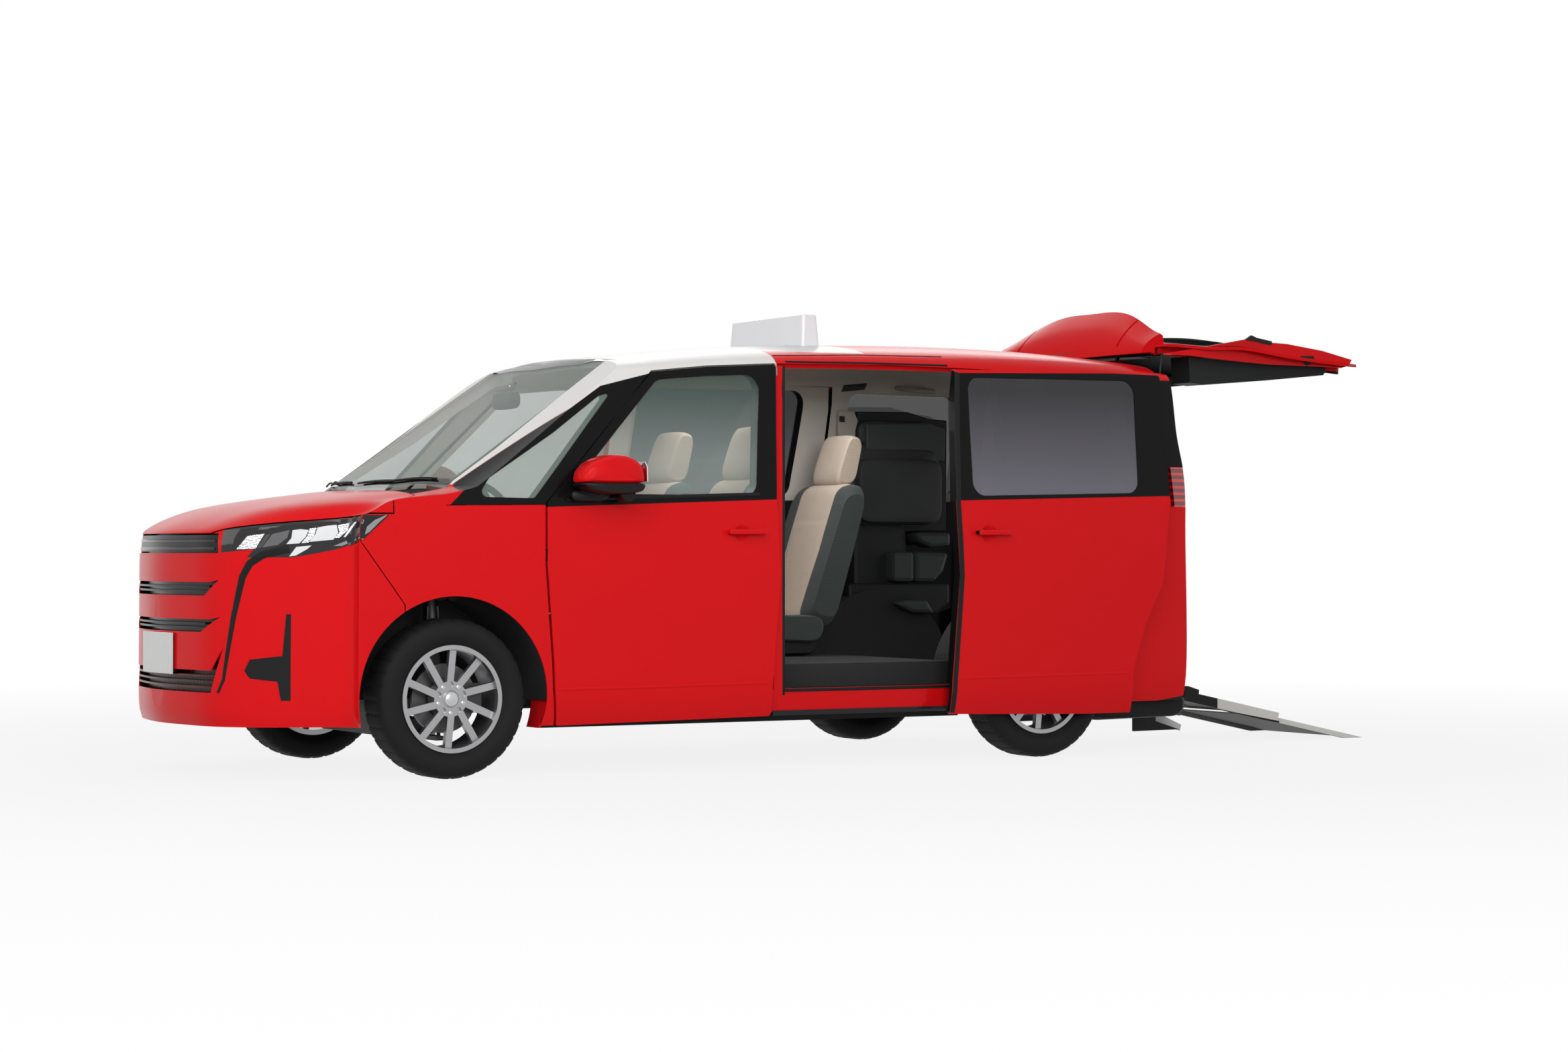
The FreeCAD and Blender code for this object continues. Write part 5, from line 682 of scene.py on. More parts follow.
def slab_pair(name, outline, near, far, material, body="body", slot="black_plastic", corner=0.0015):
    """Flat panels of this outline on both sides, between two distances from the car's middle."""
    for label, sign in SIDES:
        points = [Vector((sign * x, spot.y, spot.z)) for x in (near, far) for spot in outline]
        piece = add_mesh(f"{name}_{label}", points, skin(2, len(outline)), material, body, slot, False)
        bevelled(piece, corner, 2)


def spread(points, step, closed=False):
    """Points at about even steps along a line."""
    result = []
    for a, b in zip(points, points[1:] + points[:1] if closed else points[1:]):
        count = max(1, round(math.dist(a, b) / step))
        for index in range(count):
            share = index / count
            result.append(tuple(p + (q - p) * share for p, q in zip(a, b)))
    if not closed:
        result.append(tuple(points[-1]))
    return result


def ribbon_shape(hits, width, lift, sink, closed=False):
    """Crowned strip along hits on a surface."""
    section = ((-0.5, -sink), (-0.5, 0.4 * lift), (-0.25, lift), (0.25, lift), (0.5, 0.4 * lift),
               (0.5, -sink))
    points = []
    count = len(hits)
    for index, (spot, normal) in enumerate(hits):
        if closed:
            before, after = hits[index - 1][0], hits[(index + 1) % count][0]
        else:
            before, after = hits[max(0, index - 1)][0], hits[min(count - 1, index + 1)][0]
        side = (after - before).cross(normal).normalized()
        span = width if isinstance(width, float) else width[0] + (width[1] - width[0]) * index / count
        for across, up in section:
            points.append(spot + side * (across * span) + normal * up)
    return points, skin(count, len(section), closed)


def even(hits):
    """Hits without gaps, their normals smoothed along the line."""
    hits = [hit for hit in hits if hit]
    result = []
    for index, (spot, normal) in enumerate(hits):
        near = [hits[k][1] for k in range(max(0, index - 2), min(len(hits), index + 3))]
        total = Vector((0, 0, 0))
        for other in near:
            if other.dot(normal) > 0:
                total += other
        result.append((spot, total.normalized()))
    return result


def ribbon(name, line, caster, width, lift, sink, material, body="body", slot="black_plastic", step=0.02,
           closed=False, mirrored=False):
    hits = even([caster(*point) for point in spread([tuple(p) for p in line], step, closed)])
    points, faces = ribbon_shape(hits, width, lift, sink, closed)
    add_pair(name, points, faces, material, body, slot, mirrored)


def inside(point, outline):
    """Whether a flat point lies within a closed outline."""
    odd = False
    for (ax, ay), (bx, by) in zip(outline, outline[1:] + outline[:1]):
        if (ay > point[1]) != (by > point[1]):
            if point[0] < (bx - ax) * (point[1] - ay) / (by - ay) + ax:
                odd = not odd
    return odd


def patch(name, outline, caster, lift, sink, step, material, slot="black_plastic", mirrored=False):
    """Thin panel that follows a surface, its outline drawn in the caster's own view."""
    outline = [tuple(point) for point in outline]
    border = spread(outline, step, closed=True)
    xs = [point[0] for point in border]
    ys = [point[1] for point in border]
    spots = [Vector(point) for point in border]
    rows = int((max(ys) - min(ys)) / step)
    columns = int((max(xs) - min(xs)) / step)
    for row in range(1, rows + 1):
        for column in range(1, columns + 1):
            spot = (min(xs) + column * step, min(ys) + row * step)
            if inside(spot, outline) and min(math.dist(spot, other) for other in border) > 0.4 * step:
                spots.append(Vector(spot))
    ring = len(border)
    edges = [(index, (index + 1) % ring) for index in range(ring)]
    flat, _, faces, _, _, _ = delaunay_2d_cdt(spots, edges, [], 1, step * 0.001)
    hits = [caster(*point) for point in flat]
    good = {index for index, hit in enumerate(hits) if hit}
    order = {old: new for new, old in enumerate(sorted(good))}
    faces = [tuple(order[index] for index in face) for face in faces if all(index in good for index in face)]
    upper = [hits[index][0] + hits[index][1] * lift for index in sorted(good)]
    lower = [hits[index][0] - hits[index][1] * sink for index in sorted(good)]
    count = len(upper)
    sides = {}
    for face in faces:
        for a, b in zip(face, face[1:] + face[:1]):
            sides[(a, b)] = sides.get((a, b), 0) + 1
    walls = [(a, b, b + count, a + count) for a, b in sides if (b, a) not in sides]
    closed = faces + [tuple(index + count for index in reversed(face)) for face in faces] + walls
    add_pair(name, upper + lower, closed, material, "body", slot, mirrored)


def tube(name, points, radius, material, body="body", slot="black_plastic"):
    """Round bar through points."""
    curve = bpy.data.curves.new(name, "CURVE")
    curve.dimensions = "3D"
    curve.bevel_depth = radius
    curve.bevel_resolution = 4
    curve.use_fill_caps = True
    spline = curve.splines.new("NURBS")
    spline.points.add(len(points) - 1)
    for item, point in zip(spline.points, points):
        item.co = (*point, 1.0)
    spline.order_u = 3
    spline.use_endpoint_u = True
    link(name, curve, material, body, slot)


def smooth_loop(outline, rounds=3):
    """Corner-cut closed outline."""
    for _ in range(rounds):
        cut = []
        for a, b in zip(outline, outline[1:] + outline[:1]):
            cut.append(tuple(0.75 * p + 0.25 * q for p, q in zip(a, b)))
            cut.append(tuple(0.25 * p + 0.75 * q for p, q in zip(a, b)))
        outline = cut
    return outline


STATIONS = 32
OUTLINE_STEP = 0.10
END_START = 0.86
END_PULL = 0.7
SEAM_DEPTH = 0.008
SEAM_SPREAD = 0.035
CHANNEL_DEPTH = 0.006
CHANNEL_SPREAD = 0.006
LEAST_REACH = 0.02


def cushion_shape(outline, middle, half, crown, seam=0.0, channels=(), rounds=3):
    """Crowned closed form: the side outline, drawn in between its ends and along its seams."""
    loop = smooth_loop(spread([tuple(point) for point in outline], OUTLINE_STEP, True), rounds)
    size = len(loop)
    centre = tuple(sum(point[k] for point in loop) / size for k in range(2))
    points = []
    for station in range(STATIONS + 1):
        share = -math.cos(math.pi * station / STATIONS)
        pull = crown * abs(share) ** 3 + END_PULL * max(0.0, abs(share) - END_START)
        dent = SEAM_DEPTH * math.exp(-((abs(share) - seam) / SEAM_SPREAD) ** 2) if seam else 0.0
        for across, up in loop:
            reach = math.hypot(across - centre[0], up - centre[1])
            crease = 0.0
            if not abs(share) > seam > 0:
                crease = sum(CHANNEL_DEPTH * math.exp(-((up - level) / CHANNEL_SPREAD) ** 2)
                             for level in channels)
            keep = 1.0 - pull - (dent + crease) / max(reach, LEAST_REACH)
            points.append(place(middle + half * share, centre[0] + (across - centre[0]) * keep,
                                centre[1] + (up - centre[1]) * keep))
    faces = skin(STATIONS + 1, size, capped=False)
    for station in (0, STATIONS):
        hub = len(points)
        points.append(place(middle + half * (-1.0 if station == 0 else 1.0), *centre))
        for corner in range(size):
            faces.append((station * size + corner, station * size + (corner + 1) % size, hub))
    return points, faces


def cushion(name, outline, middle, half, crown, material, body="body", slot="black_plastic", **form):
    """Piece with the shape of a crowned closed form."""
    points, faces = cushion_shape(outline, middle, half, crown, **form)
    return add_mesh(name, points, faces, material, body, slot)


SEAT_DEPTH = 0.52
SEAT_HEIGHT = 1.0
SEAT_FLOOR = 0.43
SEAT_HALF = 0.25
SEAT_BASE_HALF = 0.78 * SEAT_HALF
SEAT_CROWN = 0.06
LOW_CROWN = 0.02
POST_AWAY = 0.05
SEAT_POST = ((0.30, 0.72), (0.40, 0.85))
SEAT_X = 0.37
FRONT_ROW = 1.4105
SECOND_ROW = 2.30825
SEAT_BASE = ((-0.83, 0.002), (-0.04, 0.002), (0.10, 0.30), (0.02, 0.30), (-0.06, 0.12), (-0.81, 0.10))
SEAT_PARTS = (
    ("cushion", ((-0.96, 0.10), (-0.50, 0.07), (-0.04, 0.06), (0.03, 0.13), (0.0, 0.19), (-0.45, 0.195),
                 (-0.85, 0.23), (-1.0, 0.18)), SEAT_HALF, 0.62, ()),
    ("back", ((-0.21, 0.17), (-0.06, 0.13), (0.08, 0.13), (0.27, 0.45), (0.44, 0.76), (0.385, 0.81),
              (0.21, 0.79), (0.0, 0.48)), SEAT_HALF, 0.62, (1.06,)),
    ("headrest", ((0.23, 0.80), (0.34, 0.785), (0.44, 0.80), (0.53, 1.01), (0.46, 1.03), (0.385, 1.03),
                  (0.31, 0.93)), 0.125, 0.0, ()),
)


def seat_outline(shares, row):
    return [(row + back * SEAT_DEPTH, SEAT_FLOOR + up * SEAT_HEIGHT) for back, up in shares]


def make_seat(label, x, row, centre_cloth, plain_cloth, shell, node):
    """Padded cushion, back and headrest on a moulded base."""
    pieces = []
    for part, shares, half, seam, channels in SEAT_PARTS:
        cloth = plain_cloth if part == "headrest" else centre_cloth
        piece = cushion(f"{label}_{part}", seat_outline(shares, row), x, half, SEAT_CROWN, cloth,
                        slot="seat_fabric", seam=seam, channels=channels)
        pieces.append(piece)
    pieces.append(cushion(f"{label}_base", seat_outline(SEAT_BASE, row), x, SEAT_BASE_HALF, LOW_CROWN, shell))
    for letter, side in (("a", -POST_AWAY), ("b", POST_AWAY)):
        low, top = [place(x + side, along, up) for along, up in seat_outline(SEAT_POST, row)]
        tube(f"{label}_post_{letter}", [low, (low + top) / 2, top], 0.006, shell, slot="bare_steel")
    for piece in pieces:
        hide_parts(node)


THIRD_PARTS = (
    ("back", 2.735, 3.255, 1.045, 1.425, 0.0, 0.115, (1.09, 1.38)),
    ("rest", 2.80, 3.20, 1.430, 1.548, 0.0, 0.100, ()),
    ("seat", 2.76, 3.23, 1.055, 1.36, 0.115, 0.060, (1.20,)),
)
THIRD_CORNER = 0.03
THIRD_WALL_GAP = 0.012
THIRD_FOOT = (2.775, 3.075, 0.67, 1.06, 0.05)
THIRD_FOOT_AWAY = 0.05
THIRD_FOOT_HALF = 0.045


def box_outline(y_low, y_high, z_low, z_high, corner):
    """Outline of a box with cut corners."""
    y_near = y_low + corner
    y_far = y_high - corner
    z_near = z_low + corner
    z_far = z_high - corner
    return [(y_near, z_low), (y_far, z_low), (y_high, z_near), (y_high, z_far), (y_far, z_high),
            (y_near, z_high), (y_low, z_far), (y_low, z_near)]


def make_seats():
    """Two front seats, one second-row seat and the folded third row on the side walls."""
    shell = plastic("seat_shell", (0.025, 0.026, 0.028), 0.55)
    dark = (0.062, 0.074, 0.072)
    plain = weave("cloth_plain", BEIGE, BEIGE, 1.0, 0.0, 0.004)
    for label, sign in reversed(SIDES):
        cloth = weave("cloth_front_" + label[0], BEIGE, dark, 0.155, sign * SEAT_X)
        make_seat("front_seat_" + label, sign * SEAT_X, FRONT_ROW, cloth, plain, shell, "front_seats")
    cloth = weave("cloth_second", BEIGE, dark, 0.155, -SEAT_X)
    make_seat("second_seat", -SEAT_X, SECOND_ROW, cloth, plain, shell, "second_row_seat")
    vinyl = plastic("third_vinyl", (0.048, 0.050, 0.052), 0.45)
    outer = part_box("third_row_seats")[1][0] - THIRD_WALL_GAP
    for label, sign in SIDES:
        for part, y_low, y_high, z_low, z_high, inner, thickness, channels in THIRD_PARTS:
            outline = box_outline(y_low, y_high, z_low, z_high, THIRD_CORNER)
            middle = sign * (outer - inner - thickness / 2)
            piece = cushion(f"third_{part}_{label}", outline, middle, thickness / 2, LOW_CROWN, vinyl,
                            slot="seat_fabric", channels=channels, rounds=2)
            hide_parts("third_row_seats")
        foot = cushion("third_foot_" + label, box_outline(*THIRD_FOOT), sign * (outer - THIRD_FOOT_AWAY),
                       THIRD_FOOT_HALF, LOW_CROWN, shell, rounds=2)
        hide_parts("third_row_seats")


TYRE_SECTION = ((0.366, 0.0), (0.366, 0.10), (0.40, 0.19), (0.455, 0.30), (0.490, 0.42), (0.499, 0.53),
                (0.494, 0.66), (0.477, 0.78), (0.445, 0.87), (0.410, 0.925), (0.36, 0.965), (0.29, 0.995))
TREAD_EDGES = (0.27, 0.205, 0.195, 0.150, 0.140, 0.045, 0.035)
GROOVE_EDGES = (0.205, 0.150, 0.045)
GROOVE_DEPTH = 0.007
TYRE_INNER = 0.2033
TYRE_OUTER = 0.322
TYRE_WIDTH = 0.205
TREAD_STEPS = 216
SIPE_EVERY = 6
SIPE_DEPTH = 0.004
SHOULDER_DEPTH = 0.012
SHOULDER_SHARE = 0.19
GROOVE_SLOPE_SHARE = 0.002
HUB_LUGS = 5
LUG_CIRCLE = 0.057
LUG_FACE = 0.053
ROUND_STEPS = 48
LUG_PROFILE = ((0.0, 0.011), (0.010, 0.011), (0.013, 0.0095), (0.0145, 0.005))
CAP_PROFILE = ((0.052, 0.029), (0.066, 0.0295), (0.070, 0.0275), (0.0695, 0.024), (0.0715, 0.020),
               (0.073, 0.010), (0.0735, 0.002))
SHIELD_PROFILE = ((-0.021, 0.055), (-0.021, 0.123), (-0.024, 0.125), (-0.024, 0.055))


def make_tyre(corner, middle, rubber):
    """Tyre with ribs, cross grooves and a stepped side wall."""
    span = TYRE_OUTER - TYRE_INNER
    half = [(TYRE_WIDTH * axial, TYRE_INNER + span * radial, False) for axial, radial in TYRE_SECTION]
    sunk = False
    for edge in TREAD_EDGES:
        half.append((TYRE_WIDTH * edge, TYRE_OUTER - (GROOVE_DEPTH if sunk else 0.0), not sunk))
        if edge in GROOVE_EDGES:
            sunk = True
            half.append((TYRE_WIDTH * (edge - GROOVE_SLOPE_SHARE), TYRE_OUTER - GROOVE_DEPTH, False))
        elif sunk:
            sunk = False
            half.append((TYRE_WIDTH * (edge - GROOVE_SLOPE_SHARE), TYRE_OUTER, True))
    profile = half + [(-axial, radius, flag) for axial, radius, flag in reversed(half)]
    points = []
    for step in range(TREAD_STEPS):
        turn = 2 * math.pi * step / TREAD_STEPS
        cut = step % SIPE_EVERY == 0
        for axial, radius, tread in profile:
            shoulder = radius > TYRE_OUTER - SHOULDER_DEPTH and abs(axial) > SHOULDER_SHARE * TYRE_WIDTH
            reach = radius - (SIPE_DEPTH if cut and (tread or shoulder) else 0.0)
            points.append(Vector((middle[0] + axial, middle[1] + reach * math.cos(turn),
                                  middle[2] + reach * math.sin(turn))))
    faces = skin(TREAD_STEPS, len(profile), closed=True)
    piece = add_mesh("tread_" + corner, points, faces, rubber, "road_wheel_" + corner, "tyre")
    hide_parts("tyre_" + corner)


def lathe(profile, spot, axis_sign, steps=6, closed=False):
    """Closed form turned about the x axis."""
    points = []
    for axial, radius in profile:
        for step in range(steps):
            turn = 2 * math.pi * step / steps
            points.append(Vector((spot[0] + axis_sign * axial, spot[1] + radius * math.cos(turn),
                                  spot[2] + radius * math.sin(turn))))
    return points, skin(len(profile), steps, closed)


def make_wheels():
    """Tyres, brake shields, wheel nuts and caps."""
    shield = metal("brake_shield", (0.02, 0.02, 0.021), 0.6)
    nut_steel = metal("lug_nuts", (0.5, 0.5, 0.52), 0.25)
    cap_finish = satin("hub_cap", (0.50, 0.51, 0.52), 0.25, 0.9)
    for corner in ("front_left", "front_right", "rear_left", "rear_right"):
        low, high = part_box("tyre_" + corner)
        middle = [(a + b) / 2 for a, b in zip(low, high)]
        sign = 1 if middle[0] > 0 else -1
        centre = (middle[1] - AXLE_Y, middle[2], middle[0])
        wheel = "road_wheel_" + corner
        make_tyre(corner, middle, tyre_rubber("rubber_" + corner, centre))
        dress(wheel_finish("alloy_" + corner, centre, sign), "wheel_" + corner)
        body = "body" if corner.startswith("rear") else "steer_" + corner.split("_")[1]
        points, faces = lathe(SHIELD_PROFILE, middle, sign, ROUND_STEPS, closed=True)
        add_mesh("shield_" + corner, points, faces, shield, body, "dark_metal")
        points = []
        faces = []
        for lug in range(HUB_LUGS):
            turn = 2 * math.pi * (lug + 0.5) / HUB_LUGS + math.pi / 2
            spot = (middle[0] + sign * LUG_FACE, middle[1] + LUG_CIRCLE * math.cos(turn),
                    middle[2] + LUG_CIRCLE * math.sin(turn))
            more, sides = lathe(LUG_PROFILE, spot, sign)
            faces += [tuple(index + len(points) for index in face) for face in sides]
            points += more
        add_mesh("nuts_" + corner, points, faces, nut_steel, wheel, "bare_steel")
        points, faces = lathe(CAP_PROFILE, middle, sign, ROUND_STEPS)
        add_mesh("cap_" + corner, points, faces, cap_finish, wheel, "wheel_alloy")


LAMP_CORNER = (300.0, 690.0)
LAMP_ZOOM = 5.0
LAMP_TIP = ((1120, 402), (1290, 372), (1430, 358), (1375, 410), (1300, 480), (1200, 575), (1100, 618),
            (1080, 560))
LAMP_SHAPES = (
    ("lamp_bowl", "reflector", ((262, 645), (345, 545), (472, 528), (405, 638)), 0.0020),
    ("lamp_bar_inner", "dark", ((415, 636), (482, 535), (520, 528), (450, 632)), 0.0030),
    ("lamp_prism", "smoke", ((455, 630), (530, 530), (660, 500), (640, 560), (570, 612)), 0.0022),
    ("lamp_module_inner", "bright", ((635, 605), (672, 560), (680, 502), (740, 494), (800, 500), (780, 550),
                                     (730, 600)), 0.0035),
    ("lamp_facet_inner", "reflector", ((745, 598), (790, 548), (808, 490), (858, 483), (842, 540),
                                       (798, 592)), 0.0026),
    ("lamp_module_outer", "bright", ((805, 588), (852, 530), (866, 482), (940, 468), (1010, 462),
                                     (1022, 520), (985, 572)), 0.0035),
    ("lamp_facet_outer", "reflector", ((995, 560), (1032, 515), (1018, 466), (1140, 440), (1092, 505),
                                       (1030, 558)), 0.0026),
    ("lamp_edge", "bright", ((1062, 552), (1146, 442), (1164, 440), (1078, 554)), 0.0042),
    ("lamp_corner", "pale", ((1215, 535), (1232, 475), (1290, 425), (1395, 380), (1325, 440), (1250, 515)),
     0.0050),
    ("lamp_blade", "bright", ((655, 697), (708, 626), (822, 615), (790, 642), (705, 690)), 0.0040),
    ("lamp_blade_tail", "pale", ((985, 620), (1165, 548), (1212, 540), (1150, 580), (1050, 618)), 0.0025),
)


def make_headlamps():
    """Bright and dark inserts behind the lamps' dark lens."""
    carrier = Carrier("headlamps", "front_fenders", "front_bumper")
    finishes = {
        "reflector": reflector("lamp_reflector"),
        "dark": satin("lamp_dark", (0.03, 0.03, 0.032), 0.25, 0.3),
        "smoke": satin("lamp_smoke", (0.12, 0.12, 0.13), 0.12, 0.8),
        "bright": satin("lamp_bright", (0.80, 0.81, 0.83), 0.18, 0.35),
        "pale": satin("lamp_pale", (0.26, 0.27, 0.28), 0.15, 0.5),
    }
    housing = gloss("lamp_lens", (0.006, 0.006, 0.007), 0.04)
    patch("lamp_tip", enlarged(LAMP_TIP, LAMP_CORNER, LAMP_ZOOM), carrier.pixel, 0.0035, 0.004, 3.0, housing,
          "lamp_clear", True)
    for name, finish, outline, lift in LAMP_SHAPES:
        patch(name, enlarged(outline, LAMP_CORNER, LAMP_ZOOM), carrier.pixel, lift, 0.002, 4.0,
              finishes[finish], "lamp_clear", True)


PLATE_LEAD = 0.0006
PLATE_HALF = 0.180
PLATE_LOW = 0.418
PLATE_HIGH = 0.586
PLATE_MOUNT_INSET = 0.008
FRONT_GROOVE = ((0.650, 0.926), (0.600, 0.900), (0.572, 0.866), (0.554, 0.812), (0.530, 0.659),
                (0.497, 0.404), (0.475, 0.352))


def make_front():
    """Black strips of the nose and the blank number plate."""
    black = plastic("trim_black", BLACK, 0.35)
    shine = gloss("trim_gloss", (0.02, 0.02, 0.022), 0.12)
    bumper = Carrier("front_bumper", "headlamps", "front_fenders")
    ribbon("groove_strip", FRONT_GROOVE, bumper.front, (0.034, 0.012), 0.0015, 0.006, black, mirrored=True)
    plate = satin("plate_blank", (0.55, 0.56, 0.54), 0.35, 0.1)
    front = cad_box[0][1] - PLATE_LEAD
    for name, inset, near, far, finish, slot, corner in (
            ("number_plate", 0.0, 0.0, 0.006, plate, "sign_white", 0.002),
            ("plate_mount", PLATE_MOUNT_INSET, 0.004, 0.030, black, "black_plastic", 0.004)):
        half = PLATE_HALF - inset
        low = PLATE_LOW + inset
        high = PLATE_HIGH - inset
        points = [Vector((x, front + depth, z)) for depth in (near, far)
                  for x, z in ((-half, low), (half, low), (half, high), (-half, high))]
        bevelled(add_mesh(name, points, skin(2, 4), finish, "body", slot, False), corner, 3)
    strip = Carrier("grille", "front_bumper")
    for level, z in enumerate((0.925, 0.958)):
        ribbon(f"grille_blade_{level}", [(-0.45, z), (0.45, z)], strip.front, 0.010, 0.004, 0.004, shine)


SCREEN_FOOT = ((0.0, -0.090), (0.303, -0.060), (0.519, 0.011), (0.65, 0.046))
SCREEN_BORDER = ((0.0, 0.765), (0.40, 0.79), (0.575, 0.835), (0.630, 0.832), (0.66, 0.72), (0.705, 0.285),
                 (0.70, 0.10), (0.56, 0.045), (0.33, -0.025), (0.0, -0.055))
WIPER_STEPS = 10
CABIN_MIRROR = ((0.60, -0.035), (0.635, -0.04), (0.64, 0.035), (0.605, 0.04))
CABIN_MIRROR_STEM = ((0.625, 0.0), (0.64, 0.04), (0.67, 0.078))
CABIN_MIRROR_Y = 0.66
CABIN_MIRROR_DROP = 0.075
CABIN_MIRROR_HALF = 0.115


def screen_foot(x):
    """Place of the windscreen's lower edge at this distance from the middle."""
    for (ax, ay), (bx, by) in zip(SCREEN_FOOT, SCREEN_FOOT[1:]):
        if x <= bx:
            return ay + (by - ay) * (x - ax) / (bx - ax)
    return SCREEN_FOOT[-1][1]


def make_screen():
    """Black border, wipers and cabin mirror of the windscreen."""
    black = gloss("frit_black", (0.01, 0.01, 0.011), 0.1)
    rubber = plastic("wiper_rubber", RUBBER, 0.6)
    screen = Carrier("windscreen")
    line = SCREEN_BORDER + tuple((-x, y) for x, y in reversed(SCREEN_BORDER[1:-1]))
    ribbon("screen_frit", line, screen.top, 0.040, 0.0008, 0.002, black, slot="glass_front", closed=True)
    for label, sign, near, far in (("left", 1, 0.04, 0.56), ("right", -1, 0.10, 0.62)):
        for part, inset, lift, radius in (("blade", 0.030, 0.007, 0.005), ("arm", 0.012, 0.016, 0.004)):
            reach = [near + (far - near) * k / WIPER_STEPS for k in range(WIPER_STEPS + 1)]
            hits = [screen.top(sign * x, screen_foot(x) + inset) for x in reach]
            path = [spot + normal * lift for spot, normal in (hit for hit in hits if hit)]
            tube(f"wiper_{part}_{label}", path, radius, rubber)
    glass, _ = screen.hit(place(0.0, CABIN_MIRROR_Y, 0.5), Vector((0, 0, 1)))
    z = glass.z - CABIN_MIRROR_DROP
    cushion("cabin_mirror", [(y, z + up) for y, up in CABIN_MIRROR], 0.0, CABIN_MIRROR_HALF, 0.10, rubber)
    tube("cabin_mirror_stem", [place(0, y, z + up) for y, up in CABIN_MIRROR_STEM], 0.008, rubber)


SLIDE_EDGE = ((2.327, 0.215), (2.330, 0.36), (2.350, 0.60), (2.366, 0.81), (2.362, 0.95), (2.355, 1.135),
              (2.385, 1.42), (2.418, 1.70))


def make_sides():
    """Creases, belt seals and the front seal of the open sliding door."""
    rubber = plastic("seal_rubber", RUBBER, 0.55)
    paint = layered("lacquer_line")
    shell = Carrier("front_door_left")
    ribbon("door_crease", ((0.455, 0.352), (0.9, 0.354), (1.43, 0.359)), shell.left, 0.012, 0.0025, 0.002,
           paint, "door_left", "paint_red", mirrored=True)
    slide = Carrier("sliding_door_left")
    ribbon("slide_crease", ((2.36, 0.363), (2.8, 0.366), (3.25, 0.37)), slide.left, 0.012, 0.0025, 0.002,
           paint, slot="paint_red")
    ribbon("slide_front_seal", SLIDE_EDGE, slide.left, 0.024, 0.003, 0.004, rubber)
    door = Carrier("front_door_left", "front_door_glass_left")
    ribbon("belt_seal", ((0.50, 1.128), (0.90, 1.140), (1.40, 1.156)), door.left, 0.014, 0.004, 0.004, rubber,
           "door_left", mirrored=True)


PILLAR_SEAL = ((1.5085, 0.350), (1.513, 0.46), (1.525, 0.63), (1.533, 0.81), (1.529, 0.97), (1.522, 1.13),
               (1.536, 1.22), (1.560, 1.36), (1.585, 1.50), (1.602, 1.60))
MIRROR_CAP = ((0.505, 1.205), (0.520, 1.250), (0.570, 1.290), (0.650, 1.314), (0.730, 1.306), (0.785, 1.270),
              (0.800, 1.215), (0.795, 1.190), (0.650, 1.188), (0.515, 1.190))
MIRROR_BASE = ((0.500, 1.196), (0.650, 1.194), (0.797, 1.196), (0.798, 1.172), (0.770, 1.152), (0.640, 1.146),
               (0.530, 1.160))
MIRROR_POD = ((0.690, 1.165), (0.695, 1.130), (0.720, 1.116), (0.760, 1.120), (0.775, 1.160))
MIRROR_ARM = ((0.500, 1.120), (0.660, 1.120), (0.690, 1.165), (0.500, 1.165))
MIRROR_PANE = ((0.866, 1.200), (0.984, 1.200), (0.980, 1.262), (0.960, 1.282), (0.890, 1.282), (0.868, 1.262))
MIRROR_X = 0.925


def make_mirrors():
    """Rounded mirror housings: painted cap, black base with a camera pod, arm and glass."""
    paint = layered("lacquer_cap")
    black = plastic("mirror_black", BLACK, 0.4)
    pane = metal("mirror_pane", (0.75, 0.77, 0.78), 0.04)
    shells = (("cap", MIRROR_CAP, MIRROR_X, 0.074, 0.16, paint, "paint_red"),
              ("base", MIRROR_BASE, MIRROR_X, 0.073, 0.10, black, "black_plastic"),
              ("pod", MIRROR_POD, MIRROR_X, 0.030, 0.14, black, "black_plastic"),
              ("arm", MIRROR_ARM, 0.868, 0.030, 0.05, black, "black_plastic"))
    for label, sign in SIDES:
        pieces = []
        for part, outline, middle, half, crown, finish, slot in shells:
            pieces.append(cushion(f"mirror_{part}_{label}", outline, sign * middle, half, crown, finish,
                                  "door_" + label, slot))
        points = [place(sign * x, y, z) for y in (0.799, 0.803) for x, z in MIRROR_PANE]
        pieces.append(add_mesh("mirror_glass_" + label, points, skin(2, len(MIRROR_PANE)), pane,
                               "door_" + label, "glass_front", False))
        for piece in pieces:
            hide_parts("mirror_" + label)


def make_opening():
    """Rubber seals and rails round the open side doorway."""
    rubber = plastic("opening_rubber", RUBBER, 0.6)
    side = Carrier("body_side_left").left
    sill = ((1.53, 0.324), (1.9, 0.324), (2.42, 0.324))
    rail = ((1.60, 1.727), (2.0, 1.733), (2.42, 1.734))
    track = ((1.56, 1.755), (2.0, 1.771), (2.42, 1.775))
    ribbon("pillar_seal", PILLAR_SEAL, side, 0.012, 0.006, 0.004, rubber)
    ribbon("sill_seal", sill, side, 0.013, 0.005, 0.004, rubber)
    ribbon("rail_seal", rail, side, 0.010, 0.004, 0.004, rubber)
    ribbon("track_line", track, Carrier("roof").left, 0.006, 0.002, 0.003, rubber)


PILLAR_LEFT = 1153
PILLAR_RIGHT = 1166
PILLAR_ROWS = (545, 580, 640, 700, 760, 800, 860, 920, 960, 1000, 1020, 1036)
PILLAR_STEP = 0.030
PILLAR_AWAY = 13.6
PILLAR_RAISED = 0.10
PILLAR_Y = 1.42
PILLAR_LOW = 0.25
PILLAR_HIGH = 1.66


